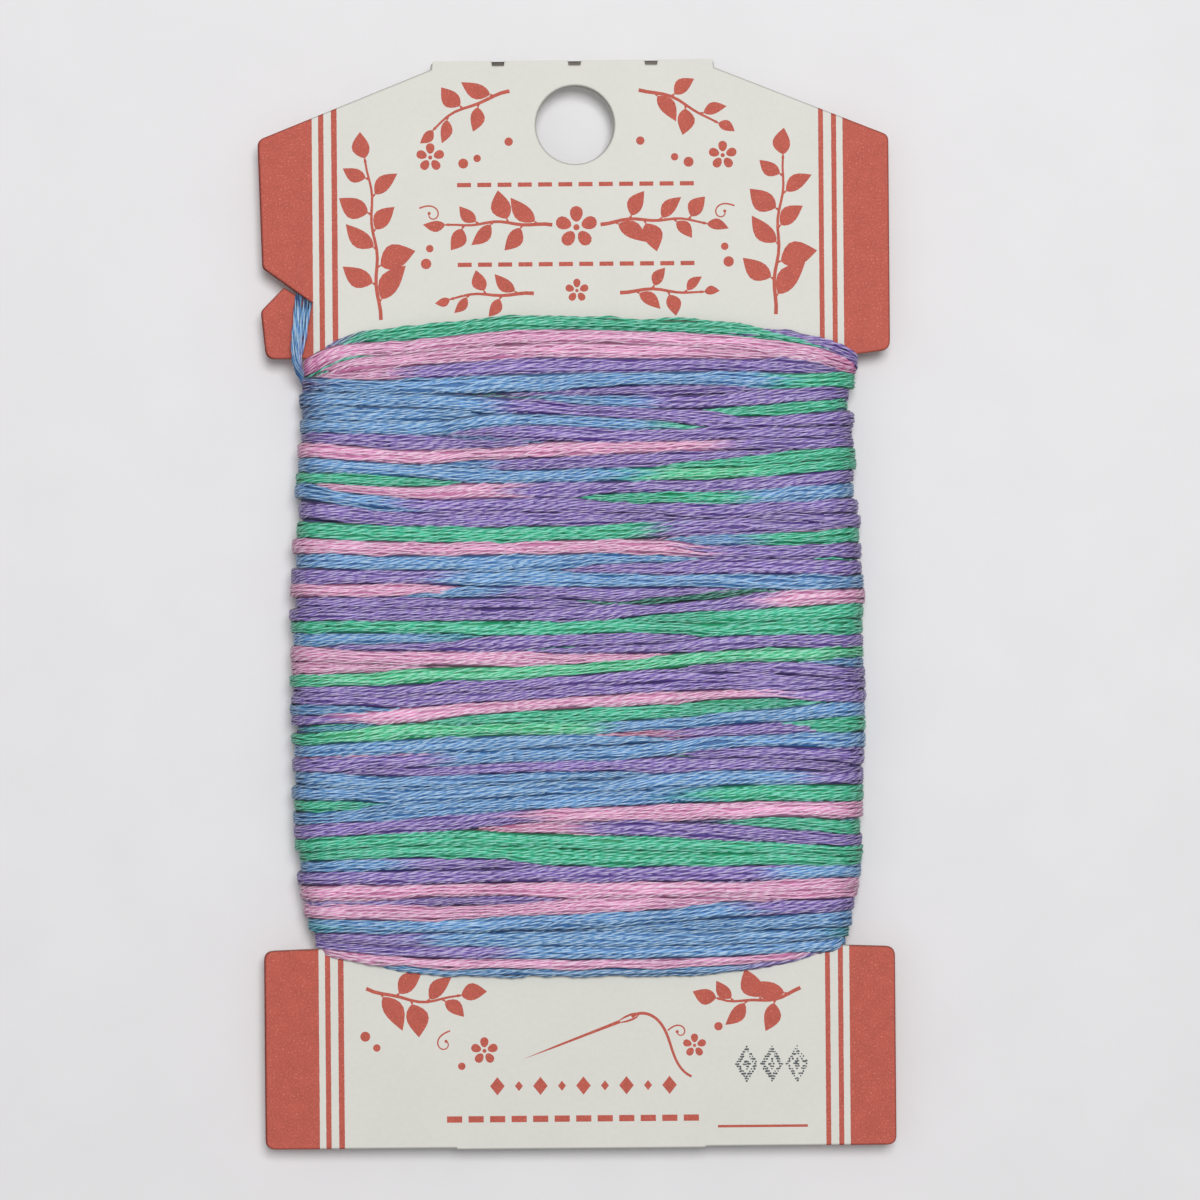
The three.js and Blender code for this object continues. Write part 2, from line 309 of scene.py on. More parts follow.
def addLooseEnd():
    middle = evenLine(looseEnd["route"], ringStep)
    tangent = unit(np.gradient(middle, axis=0))
    edgeWay, frontWay = np.array(looseEnd["edgeWay"]), np.array(looseEnd["frontWay"])
    flat = ease(ramp(middle[:, 1], looseEnd["flatFrom"], looseEnd["flatBy"]))
    broad = edgeWay + (frontWay - edgeWay) * flat[:, None]
    under = (middle[:, 2] < looseEnd["underBelow"]) & (middle[:, 1] > looseEnd["underPast"])
    broad[under] = np.cross(tangent[under], np.array([0.0, 0.0, 1.0]))
    broad -= (broad * tangent).sum(axis=1, keepdims=True) * tangent
    broad = unit(smoothed(unit(broad).T).T)
    thin = unit(np.cross(broad, tangent))
    random = np.random.RandomState(looseEnd["seed"])
    run = np.arange(len(middle)) * ringStep
    skein = newSkein()
    # each strand bends into the slanted slit at its own height, and is painted darker and fuller there as
    # shade
    fromSlit = run - run[np.argmax(middle[:, 1] > looseEnd["slitHeight"])]
    start, full, fading, stop = looseEnd["bend"]
    near = ramp(fromSlit, start, full) * ramp(fromSlit, stop, fading)
    slitShade = ramp(fromSlit, *looseEnd["shade"])[:, None]
    lowDown = ramp(middle[:, 1], *looseEnd["lowHeights"])[:, None]
    dyeAndPaintedLight = np.tile(np.array(dyes["blue"][:3]), (len(middle), 1))
    dyeAndPaintedLight = dyeAndPaintedLight ** (1 + looseEnd["slitShadeFull"] * slitShade + looseEnd["lowFull"] * lowDown)
    dyeAndPaintedLight = looseEnd["light"] * (1 - looseEnd["slitShadeDark"] * slitShade) * dyeAndPaintedLight
    tinge = looseEnd["tinge"] * ramp(middle[:, 1], *looseEnd["tingeHeights"])[:, None]
    tinged = dyeAndPaintedLight * (1 - tinge) + np.array(dyes["purple"][:3]) * tinge
    for height, places in looseEnd["layers"]:
        for place in places:
            across = place * looseEnd["spacing"] * np.interp(fromSlit, *looseEnd["fan"])
            across = across + slowWander(random, run, *looseEnd["stray"])
            across = across + slowWander(random, run, *looseEnd["ripple"])
            rise = height + slowWander(random, run, *looseEnd["heave"]) - looseEnd["droop"] * abs(place)
            line = middle + across[:, None] * broad + rise[:, None] * thin
            line[:, 1] += looseEnd["slitSlope"] * across * near
            last = len(middle) - (random.randint(1, 5) if abs(place) > 0.5 else 0)
            shade = 1 + slowWander(random, run, *looseEnd["unevenLight"])
            tint = (tinged if place > looseEnd["tingedPast"] else dyeAndPaintedLight) * shade[:, None]
            phase, pitch = random.uniform(0, 6.28), strandShape["pitch"] * random.uniform(*looseEnd["twist"])
            addStrand(skein, line[:last], thin[:last], looseEnd["strandRadius"], phase, tint[:last], pitch)
    piece = skeinMesh("looseEnd", skein)
    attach(piece, "root")
    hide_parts("loose_end", "loose_end_tail")
    path = [tuple(point * mm) for point in evenLine(looseEnd["route"], 0.6)]
    return piece


# the winding's form, in mm
windingForm = {
    "topMiddle": 22.75, "bottomMiddle": -29.45,  # where its top and bottom lie in the middle
    "topArch": 4, "bottomBow": 3,  # how sharply a turn bends towards its ends
    "endDepth": 2.3, "crown": 0.2,  # how deep its round ends are, and how much fuller its middle
    # at these shares of the way down: how far out each end lies, how high up the card a turn is there,
    # and how thick the floss lies on the card's front and back
    "down": (0, 0.04, 0.1, 0.2, 0.5, 0.8, 0.9, 0.96, 1),
    "left": (21.15, 21.3, 21.75, 22.25, 22.3, 22.3, 21.9, 21.4, 20.7),
    "right": (21.9, 22.1, 22.15, 22.3, 22.3, 22.3, 21.9, 21.3, 20.9),
    "leftEnd": (17.75, 15.9, 13.1, 8.7, -4.6, -17.9, -22.3, -24.7, -26.3),
    "rightEnd": (18.75, 16.9, 13.8, 9.1, -4.3, -17.7, -22.1, -24.5, -26.1),
    "front": (0.7, 1.35, 1.85, 2.15, 2.25, 2.15, 1.85, 1.35, 0.7),
    "back": (0.7, 1.5, 2.2, 2.4, 2.45, 2.4, 2.2, 1.5, 0.7),
}

# how far out the turns stand where they go round the ends, in mm: height up the card, then the
# distance from its middle
endReach = {
    "left": (
        (19.5, 21.45), (17.6, 21.6), (16.4, 22.0), (15.2, 21.7), (14.2, 21.85), (13.4, 21.7), (12.4, 22.1),
        (11.3, 22.05), (10.3, 22.15), (9.3, 22.4), (8.2, 22.05), (7.2, 21.95), (6.1, 22.2), (4.7, 22.55),
        (3.8, 22.25), (2.5, 22.7), (1.2, 22.7), (0.3, 22.4), (-0.6, 22.8), (-1.6, 22.75), (-2.5, 22.55),
        (-3.0, 22.3), (-3.8, 22.75), (-4.9, 22.65), (-5.9, 22.8), (-6.8, 22.55), (-7.9, 22.85),
        (-8.9, 22.75), (-9.6, 22.4), (-10.3, 22.8), (-11.4, 22.55), (-12.4, 22.7), (-13.5, 22.5),
        (-14.7, 22.7), (-15.7, 22.5), (-16.6, 22.7), (-17.8, 22.6), (-19.0, 22.5), (-20.0, 22.05),
        (-21.3, 22.4), (-23.0, 22.1), (-25.1, 21.6), (-26.5, 21.0),
    ),
    "right": (
        (19.5, 22.35), (18.7, 22.25), (17.5, 22.25), (16.5, 21.8), (15.7, 21.55), (14.6, 22.15),
        (13.6, 21.85), (12.6, 22.1), (11.2, 22.3), (10.1, 22.1), (9.2, 21.95), (7.8, 22.3), (6.5, 22.55),
        (5.4, 22.4), (4.2, 22.65), (3.3, 22.4), (2.7, 22.6), (1.7, 22.7), (0.6, 22.85), (-0.5, 22.75),
        (-1.9, 22.7), (-3.0, 22.7), (-3.9, 22.6), (-5.3, 22.85), (-6.5, 22.8), (-8.2, 22.8), (-9.6, 22.85),
        (-10.7, 22.75), (-12.1, 22.65), (-13.4, 22.65), (-14.9, 22.55), (-16.3, 22.55), (-17.4, 22.25),
        (-18.5, 22.4), (-19.5, 22.5), (-20.9, 22.35), (-22.0, 22.2), (-24.2, 21.75), (-25.7, 21.5),
        (-26.5, 21.1),
    ),
}


def formAt(column, down):
    return np.interp(down, windingForm["down"], windingForm[column])


def reachAt(side, height):
    heights, reach = zip(*endReach[side][::-1])
    return float(np.interp(height, heights, reach))


def turnHeight(down, x):
    # how high up the card a turn lies, so far down the winding and across the card
    middle = windingForm["topMiddle"] + (windingForm["bottomMiddle"] - windingForm["topMiddle"]) * down
    power = windingForm["topArch"] + (windingForm["bottomBow"] - windingForm["topArch"]) * down
    end = np.where(x < 0, formAt("leftEnd", down), formAt("rightEnd", down))
    edge = np.where(x < 0, formAt("left", down), formAt("right", down))
    return middle + (end - middle) * np.minimum(1, np.abs(x) / edge) ** power


def downAt(x, y, halvings=18):
    # how far down the winding a point of the card lies, found by halving
    low, high = np.zeros_like(y), np.ones_like(y)
    for step in range(halvings):
        middle = (low + high) / 2
        above = turnHeight(middle, x) > y
        low, high = np.where(above, middle, low), np.where(above, high, middle)
    return (low + high) / 2


def faceHeights(down, share):
    # the winding's front and back above the floor, where share runs from 0 in the middle to 1 at an end
    swell = windingForm["crown"] * np.maximum(0, 1 - share**2)
    front = cardHigh.z + formAt("front", down) + swell
    return front, np.maximum(0, cardLow.z - formAt("back", down) - swell)


def roundTheEnd(side, start, height, angle):
    # points on the winding's left (-1) or right (1) end, from the front at 0 to the back at pi
    x = side * (start + windingForm["endDepth"] * np.sin(angle))
    front, back = faceHeights(downAt(x, height), x / start)
    half = (front - back) / 2
    z = (front + back) / 2 + half * np.cos(angle)
    out = np.stack([side * np.sin(angle) / windingForm["endDepth"], 0 * angle, np.cos(angle) / half], 1)
    return np.stack([x, height, z], axis=1), unit(out)


def overTheFace(x, height, face):
    # points on the winding's front (1) or back (-1)
    down = downAt(x, height)
    start = np.where(x < 0, formAt("left", down), formAt("right", down)) - windingForm["endDepth"]
    front, back = faceHeights(down, x / start)
    out = np.tile((0.0, 0.0, float(face)), (len(x), 1))
    return np.stack([x, height, front if face > 0 else back], axis=1), out


# The turns on the front, from the top down. A row holds heights in mm at six places across the card,
# how deep the turn lies at each in tenths of a layer (0 on top, 9 hidden), its dyes with the places
# across the card, in mm, where they change, and for some its heights at the two shoulders.
# where a turn lies deep or goes round an end, its darker dye is painted shade
acrossCard = (-21.76, -13, -4.5, 4.5, 13, 21.76)
shoulders = (-18, 18)
frontTurns = [
    ((18.5, 21.2, 22.0, 21.85, 21.45, 19.75), "999960", ["purple"], (20.75, 20.9)),
    ((18.5, 21.35, 22.15, 21.9, 21.45, 19.3), "733338", ["purple", -18.2, "green"], (20.7, 20.6)),
    ((18.8, 20.35, 21.0, 21.0, 20.4, 18.75), "000000", ["deepPink", -20.6, "pink", 20.4, "deepPink"],
     (20.2, 19.8)),
    ((17.8, 19.85, 20.5, 20.4, 20.0, 18.6), "599999", ["darkGreen", -20.6, "green"], (19.42, 19.4)),
    ((17.65, 19.25, 19.9, 19.8, 19.5, 18.6), "800049", ["deepPink", -19.6, "pink"], (18.75, 19.1)),
    ((17.9, 18.3, 18.8, 18.7, 18.8, 18.0), "800008", ["pink", -13.6, "purple"]),
    ((17.45, 17.2, 17.4, 17.6, 17.55, 17.4), "000000",
     ["indigo", -20.5, "blue", 15.2, "teal", 16.4, "green"]),
    ((16.9, 16.7, 16.4, 16.75, 16.8, 16.6), "998359", ["indigo", -5, "purple"]),
    ((16.5, 16.3, 16.2, 15.9, 16.0, 16.4), "997000", ["darkGreen", -3.7, "blue", 5.8, "purple"]),
    ((16.2, 15.9, 15.6, 15.3, 15.0, 15.7), "999940", ["green"]),
    ((16.25, 16.1, 15.5, 14.9, 14.2, 14.5), "000000", ["darkBlue", -21.3, "blue", -6.1, "purple"]),
    ((15.2, 15.0, 14.85, 14.6, 14.2, 14.1), "009999", ["darkBlue", -21, "blue"]),
    ((14.2, 13.9, 14.45, 14.1, 13.7, 13.6), "000099", ["blue", 6.5, "green"]),
    ((13.4, 12.8, 12.6, 12.6, 12.65, 12.6), "005999", ["purple"]),
    ((13.5, 13.3, 12.95, 12.6, 12.4, 12.3), "966899", ["darkBlue"]),
    ((13.5, 13.4, 13.6, 13.2, 13.3, 13.3), "990000", ["purple"]),
    ((12.4, 11.7, 12.0, 12.2, 12.45, 12.6), "000000", ["pink", 11.7, "purple"]),
    ((11.4, 11.1, 11.0, 11.3, 11.6, 12.0), "980039", ["blue", -7, "purple"]),
    ((11.0, 10.9, 10.7, 10.8, 11.1, 11.7), "999700", ["green"]),
    ((11.1, 10.5, 10.15, 10.2, 10.3, 11.0), "000000",
     ["blue", 3.4, "teal", 5.8, "lightGreen", 14.5, "green"]),
    ((10.1, 9.7, 9.6, 9.5, 9.5, 10.1), "039999", ["green"]),
    ((9.6, 8.9, 9.0, 9.1, 9.3, 10.0), "600000", ["pink", -4.9, "purple"]),
    ((9.0, 8.5, 8.45, 8.3, 8.3, 8.9), "999200", ["green", 12.9, "blue"]),
    ((9.2, 7.9, 7.8, 7.6, 7.3, 7.5), "000000", ["blue", -14, "purple"]),
    ((7.8, 7.65, 7.4, 7.3, 6.9, 6.5), "999960", ["purple"]),
    ((7.6, 6.9, 6.7, 6.8, 6.65, 6.4), "000399", ["purple"]),
    ((6.0, 5.6, 5.5, 5.8, 6.1, 5.9), "000007", ["green", 6.2, "purple"]),
    ((5.5, 5.1, 5.05, 5.1, 5.5, 5.8), "999776", ["mauve"]),
    ((4.7, 4.45, 4.45, 4.4, 4.1, 4.1), "000000", ["pink", 9.3, "purple"]),
    ((5.2, 5.0, 5.0, 5.0, 4.9, 5.3), "999900", ["blue", 14.5, "green"]),
    ((3.6, 3.4, 3.4, 3.5, 3.4, 3.3), "000099", ["blue"]),
    ((3.4, 3.35, 3.3, 3.5, 3.4, 3.3), "999966", ["green"]),
    ((2.9, 2.75, 2.8, 2.85, 2.8, 2.6), "999000", ["purple"]),
    ((2.4, 2.2, 2.05, 1.8, 1.75, 1.6), "000000", ["purple", -10.4, "blue"]),
    ((1.2, 1.2, 1.0, 0.9, 0.9, 0.9), "029999", ["pink"]),
    ((0.85, 0.9, 0.95, 0.8, 1.0, 0.9), "950079", ["blue", -6.1, "purple"]),
    ((0.3, 0.2, 0.1, -0.2, 0.1, 0.4), "000799", ["purple"]),
    ((0.2, 0.0, 0.2, 0.15, 0.85, 1.0), "999559", ["darkGreen"]),
    ((-0.6, -0.6, -0.7, -0.5, 0.05, 0.5), "000000", ["purple", 14.8, "pink"]),
    ((-1.1, -1.2, -1.3, -1.2, -1.0, -0.7), "999500", ["green"]),
    ((-1.6, -1.7, -1.8, -1.8, -2.0, -1.9), "000000", ["green"]),
    ((-2.5, -2.6, -2.4, -2.3, -2.3, -2.3), "009999", ["blue", -11.6, "teal"]),
    ((-3.0, -3.2, -3.0, -2.8, -2.5, -2.5), "630099", ["purple"]),
    ((-3.5, -3.5, -3.5, -3.5, -3.5, -3.5), "997999", ["darkGreen"]),
    ((-3.4, -3.6, -3.6, -3.5, -3.1, -3.0), "996000", ["purple"]),
    ((-3.8, -4.0, -4.2, -4.2, -4.1, -4.1), "000399", ["pink"]),
    ((-4.85, -4.9, -5.0, -5.0, -5.0, -5.0), "069999", ["pink"]),
    ((-5.9, -5.6, -5.4, -4.7, -4.1, -4.0), "000000", ["green", -21, "lightGreen"]),
    ((-6.3, -6.2, -5.9, -5.3, -4.7, -4.7), "999893", ["mauve", 6, "blue"]),
    ((-6.7, -6.7, -6.2, -5.8, -5.9, -6.3), "000006", ["purple"]),
    ((-6.2, -6.2, -6.1, -5.4, -5.1, -5.5), "999900", ["purple"]),
    ((-7.3, -7.4, -7.0, -6.6, -6.4, -6.45), "000000", ["purple"]),
    ((-8.1, -8.15, -8.1, -8.1, -8.1, -8.1), "079999", ["blue"]),
    ((-8.95, -8.5, -7.9, -7.4, -7.1, -7.2), "000000", ["purple", -19.1, "pink", 14.8, "purple"]),
    ((-8.8, -8.7, -8.4, -8.0, -7.85, -7.7), "998747", ["green"]),
    ((-9.5, -9.25, -8.85, -8.6, -8.4, -8.2), "970079", ["green"]),
    ((-9.7, -9.3, -9.2, -9.2, -9.0, -9.0), "469999", ["teal"]),
    ((-10.3, -9.9, -9.7, -9.6, -9.0, -8.4), "000000", ["green", -19.5, "lightGreen", 1.8, "blue"]),
    ((-11.4, -11.0, -10.7, -10.6, -10.6, -10.6), "000399", ["blue"]),
    ((-10.5, -10.5, -10.35, -10.2, -9.9, -9.85), "999409", ["rose", 7, "purple"]),
    ((-9.6, -9.6, -9.6, -9.6, -9.4, -9.6), "999990", ["green"]),
    ((-11.8, -11.8, -11.5, -11.4, -11.4, -11.4), "568999", ["rose"]),
    ((-12.4, -12.3, -11.85, -11.4, -10.85, -10.8), "000000", ["purple", -10.8, "blue"]),
    ((-12.3, -12.3, -12.2, -11.9, -11.7, -11.7), "999689", ["darkGreen"]),
    ((-12.6, -12.6, -12.4, -11.9, -11.7, -12.1), "999900", ["purple"]),
    ((-12.8, -13.0, -12.8, -12.7, -12.55, -13.0), "900005", ["purple"]),
    ((-13.6, -13.8, -13.5, -13.35, -13.3, -13.3), "000599", ["blue"]),
    ((-14.7, -14.9, -14.4, -14.0, -13.65, -13.6), "000000", ["blue", 17.2, "purple"]),
    ((-15.7, -15.6, -15.4, -15.3, -15.3, -15.3), "079999", ["green", -14.8, "teal"]),
    ((-16.6, -16.1, -15.6, -15.2, -14.9, -14.95), "000000", ["blue", 7.3, "teal", 10.1, "green"]),
    ((-16.9, -16.8, -16.0, -15.8, -15.6, -15.5), "997676", ["indigo"]),
    ((-17.65, -17.2, -16.6, -16.4, -16.2, -16.3), "000000", ["purple", -4.1, "pink"]),
    ((-17.4, -17.3, -17.1, -16.9, -17.1, -17.8), "999960", ["indigo", 11, "green"]),
    ((-17.2, -17.1, -17.0, -16.9, -16.8, -17.0), "999996", ["blue"]),
    ((-17.9, -17.7, -17.5, -17.7, -18.1, -18.7), "994000", ["rose", -5, "pink", 0.8, "purple"]),
    ((-18.8, -18.3, -18.4, -18.7, -19.1, -19.6), "000000", ["green"]),
    ((-19.3, -19.3, -19.35, -19.35, -19.4, -19.6), "998899", ["indigo"]),
    ((-19.6, -19.3, -19.6, -20.0, -20.0, -20.2), "000000", ["green"]),
    ((-20.4, -20.15, -20.2, -20.3, -20.4, -20.4), "005999", ["blue", -14, "purple"]),
    ((-21.35, -21.3, -21.2, -21.1, -21.1, -21.0), "000000", ["purple", 15.2, "blue"]),
    ((-21.8, -21.8, -21.9, -21.95, -21.95, -21.9), "999969", ["purple"]),
    ((-22.4, -22.4, -22.3, -22.4, -22.5, -22.2), "000000", ["pink"]),
    ((-22.8, -22.8, -22.8, -22.7, -22.9, -22.8), "999830", ["pink"]),
    ((-23.15, -23.2, -23.1, -23.2, -23.3, -23.4), "555999", ["purple"]),
    ((-23.9, -24.1, -23.9, -23.6, -23.7, -24.2), "000097", ["pink"]),
    ((-25.1, -25.2, -24.9, -24.6, -24.0, -23.6), "000000", ["teal", -20, "blue", 13, "purple"]),
    ((-25.4, -25.4, -25.4, -25.4, -25.2, -24.9), "999520", ["blue"]),
    ((-26.1, -26.2, -26.3, -26.3, -26.2, -26.1), "300000",
     ["purple", -12, "blue", 20.2, "teal", 22.2, "darkGreen"]),
    ((-26.5, -27.2, -27.3, -27.4, -27.3, -26.7), "000000", ["purple", -5.3, "blue"], (-26.9, -27.05)),
    ((-26.6, -28.05, -28.3, -28.35, -28.1, -26.5), "400009", ["pink"], (-27.4, -27.4)),
    ((-26.7, -28.6, -28.85, -28.9, -28.6, -26.3), "944449", ["blue", 12.5, "purple"], (-27.5, -27.72)),
]

wound = {
    "strandWidth": 0.168,  # mm of a turn's width for each strand that shows
    "fewest": 3, "mostFront": 8, "mostBack": 4,  # strands in a turn
    "overlap": 1.7,  # how much wider each strand is than its share of the turn
    "thinnest": 0.112, "thickest": 0.24,  # mm, a strand's radius
    "tuck": 0.8,  # how much of its radius an outermost strand keeps inside the turn's width
    "interlock": 0.06,  # mm, how much lower every other strand lies
    "layer": 0.4,  # mm, how much lower a whole layer lies
    "hiddenFrom": 0.97, "endsAt": 0.96,  # depths: deeper than the first isn't built
    "room": 1.3, "nearest": 0.12,  # mm: with no neighbour, and where two turns count as one
    "roomOverCard": (0.85, 0.9),  # mm above the first turn and below the last one
    "narrowest": 0.33, "widest": 0.7,  # mm, half a turn's width
    "parting": 0.012,  # mm, half the gap between turns
    "sag": 0.11, "sagDeep": 0.3,  # mm, how much lower its outermost strands lie, and more where it lies deep
    "taper": 0.7,  # how much narrower the winding's outermost turns are where they lie deep
    # painted shade: how much darker a turn's outermost and lower strands are painted, and where it lies deep
    # and towards the ends
    "shadeOutside": 0.17, "shadeBelow": 0.1, "shadeDeep": 0.4, "shadeEnds": 0.36, "shadeSides": 0.16,
    "endsSlope": (0.95, 0.45),  # how squarely the surface faces up where the ends' shade starts and is full
    "sides": (18.8, 20.8),  # mm from the middle, the same for the sides' shade
    "endsShadeFull": 0.9, "endsDark": 0.6,  # how strongly that painted shade makes the dye fuller and the light darker
    # how a strand strays sideways, bends, heaves, changes in light and twists: over what length in mm,
    # and how much, in mm, in mm, in mm, as a share and in radians
    "stray": (2.6, 0.06), "ripple": (1.1, 0.038), "heave": (6.0, 0.036), "unevenLight": (8.0, 0.05),
    "unevenTwist": (4.0, 0.9),
    "calmSlope": 1.2, "calmest": 0.3,  # how soon it grows calm round the ends, and the share that stays
    "rounder": 0.5,  # how much more of a strand's section there is where it is calm
    "twist": (0.85, 1.2),  # times the usual pitch
    "unevenEnds": 0.06,  # mm, how unevenly the turns stand out at the ends
    "colourBlend": 2.0,  # mm, half the length over which a dye changes
    "colourStray": 0.8,  # mm, how far the change strays from strand to strand
    "seed": 31,
}

# a turn's lower strands: one flat tube that shows only between the upper ones, coloured with painted shade
bed = {
    "rim": 1.12, "outermostRim": 0.85, "top": 0.5, "base": 0.42,  # of the turn's room to that side
    "rimSink": 0.36, "topSink": 0.22, "baseSink": 0.5,  # mm below the winding's surface
    "overFloor": 0.55,  # mm, less its sink
    "narrower": 0.3,  # by how much of its width where it lies deep
    "light": 0.7, "height": 0.1,  # painted shade: it is coloured as a strand's depths are at this height, and darker by this light
}


def dyeAlong(plan, x, shift):
    tint = np.tile(np.array(dyes[plan[0]][:3]), (len(x), 1))
    for place, name in zip(plan[1::2], plan[2::2]):
        share = np.clip((x - place - shift) / (2 * wound["colourBlend"]) + 0.5, 0, 1)
        share = ease(share)[:, None]
        tint = tint * (1 - share) + np.array(dyes[name][:3]) * share
    return tint


def turnKnots(turn):
    # the turn's heights, with its shoulders where they are given
    places, heights = list(acrossCard), list(turn[0])
    if len(turn) > 3:
        places = [places[0], shoulders[0], *places[1:-1], shoulders[1], places[-1]]
        heights = [heights[0], turn[3][0], *heights[1:-1], turn[3][1], heights[-1]]
    return places, heights


def turnDepth(turn, x):
    depths = [int(digit) / 10 if digit != "9" else 1.0 for digit in turn[1]]
    return np.clip(smoothThrough(acrossCard, depths, x), 0, 1)


def halfWidths(heights, depths):
    # how far each turn spreads up and down before it meets a neighbour on its own level
    up, down = np.full(heights.shape, wound["room"]), np.full(heights.shape, wound["room"])
    up[0], down[-1] = wound["roomOverCard"]
    for i in range(len(heights)):
        for j in range(len(heights)):
            gap = heights[j] - heights[i]
            level = (depths[j] < 0.5) & (depths[i] < 0.5)
            up[i] = np.where(level & (gap > wound["nearest"]), np.minimum(up[i], gap), up[i])
            down[i] = np.where(level & (-gap > wound["nearest"]), np.minimum(down[i], -gap), down[i])
    return [smoothed(np.clip(room / 2 - wound["parting"], wound["narrowest"], wound["widest"]))
            for room in (up, down)]


def isOutermost(turn, count):
    # whether it is one of the two turns nearest the winding's top or bottom
    return turn < 2 or turn > count - 3


def layTurn(skein, random, surface, out, depth, up, down, plan, across, outermost):
    # one turn's strands side by side over the surface points, every other one a little lower
    side = unit(np.cross(out, unit(np.gradient(surface, axis=0))))
    run = runAlong(surface)
    width = up + down
    most = wound["mostFront"] if out[len(out) // 2, 2] > 0 else wound["mostBack"]
    count = int(np.clip(round(width.mean() / wound["strandWidth"]), wound["fewest"], most))
    radius = np.clip(width / (2 * count) * wound["overlap"], wound["thinnest"], wound["thickest"])
    order = random.randint(0, 2)
    # painted shade where the surface turns away towards the ends and the sides
    endShade = 1 - wound["shadeEnds"] * ramp(out[:, 2], *wound["endsSlope"])
    endShade = endShade * (1 - wound["shadeSides"] * ramp(np.abs(across), *wound["sides"]))
    # pulled tight where it goes round the ends: less uneven, and its strands rounder
    calm = np.clip(np.abs(out[:, 2]) * wound["calmSlope"], wound["calmest"], 1)
    radius = radius * (1 + wound["rounder"] - wound["rounder"] * calm) ** 0.5
    if outermost:
        up, down, width = (room * (1 - wound["taper"] * depth**4) for room in (up, down, width))
    for k in range(count):
        place = 2 * k / (count - 1) - 1
        spread = (up - down) / 2 + place * (width / 2 - radius * wound["tuck"])
        spread = spread + slowWander(random, run, *wound["stray"])
        spread = spread + slowWander(random, run, *wound["ripple"])
        lower = wound["interlock"] * ((k + order) % 2) + slowWander(random, run, *wound["heave"])
        sag = (wound["sag"] * place**4 + wound["sagDeep"] * depth * abs(place)) * calm
        sink = radius + depth * wound["layer"] + sag + lower * calm
        line = surface + spread[:, None] * side - sink[:, None] * out
        line[:, 2] = np.maximum(line[:, 2], radius)
        dyeAndPaintedLight = dyeAlong(plan, across, random.normal(0, wound["colourStray"]))
        # painted shade: fuller and darker towards the ends, on the outermost and lower strands, and where the
        # turn lies deep
        dyeAndPaintedLight = dyeAndPaintedLight ** (1 + wound["endsShadeFull"] * (1 - endShade))[:, None]
        light = (1 - wound["shadeOutside"] * place**4) * (1 - wound["shadeDeep"] * depth)
        light = light * endShade ** wound["endsDark"] * (1 - wound["shadeBelow"] * max(0, -place))
        dyeAndPaintedLight = dyeAndPaintedLight * (light * (1 + slowWander(random, run, *wound["unevenLight"])))[:, None]
        phase = random.uniform(0, 6.28) + slowWander(random, run, *wound["unevenTwist"])
        pitch = strandShape["pitch"] * random.uniform(*wound["twist"])
        addStrand(skein, line, out, radius, phase, np.clip(dyeAndPaintedLight, 0, 1), pitch)
    # the bed takes the same painted shade towards the ends
    dyeAndPaintedLight = dyeAlong(plan, across, 0.0) * endShade[:, None]
    addBed(skein, surface, side, out, run, depth, up, down, dyeAndPaintedLight, outermost)


def addBed(skein, surface, side, out, run, depth, up, down, dyeAndPaintedLight, outermost):
    pick = np.unique(np.append(np.arange(0, len(run), 3), len(run) - 1))
    rim = bed["outermostRim"] if outermost else bed["rim"]
    ring = []
    for reach, sink in ((rim, bed["rimSink"]), (bed["top"], bed["topSink"]),
                        (-bed["top"], bed["topSink"]), (-rim, bed["rimSink"]),
                        (-bed["base"], bed["baseSink"]), (bed["base"], bed["baseSink"])):
        spread = np.where(reach > 0, up, down) * reach * (1 - bed["narrower"] * depth)
        drop = sink + depth * wound["layer"]
        points = surface + spread[:, None] * side - drop[:, None] * out
        points[:, 2] = np.maximum(points[:, 2], bed["overFloor"] - sink)
        ring.append(points[pick])
    # painted shade: the bed is coloured as the shaded depths of a strand
    deep = bed["light"] * paintedShadeAndHighlight(dyeAndPaintedLight, np.full(len(run), bed["height"]))[pick]
    addTube(skein, np.stack(ring, axis=1), np.repeat(deep[:, None, :], 6, axis=1), run[pick])


# how the turns go round the ends and come back underneath
turnEnds = {
    "onTop": 0.75,  # a turn deeper than this at an end stays on the front
    "sideHeights": (-26.3, 18.85), "backHeights": (-26.1, 18.4),  # mm, how low and high it lies there
    "halfThick": 2.7,  # mm, about half the winding's thickness
    "hiddenAngle": 2.4, "hiddenSink": 0.3,  # a turn that ends underneath: how far round, and mm deeper
    "past": 7,  # mm of a turn beyond the face at each end
    "backHalf": 20.0,  # mm, how far the back's own stretch reaches from the middle
    "backEdges": (0.012, 0.988),  # how far down the winding its first and last turns lie
    "backDrift": 0.22, "backMost": 0.4,  # mm, how far they stray from even spacing
    "backChange": 12,  # mm, how far from the middle their dyes change at most
}


def turnsOnTop(heightAt, depthAt):
    # the turns that lie on top where they go round one end, from the top down
    shown = [i for i in range(len(frontTurns)) if depthAt[i] < turnEnds["onTop"]]
    return sorted(shown, key=lambda i: -heightAt[i])


def inParts(count, letters):
    # a letter for each piece and the turns that it takes
    step = math.ceil(count / len(letters))
    for part, letter in enumerate(letters):
        yield letter, range(part * step, min(count, (part + 1) * step))


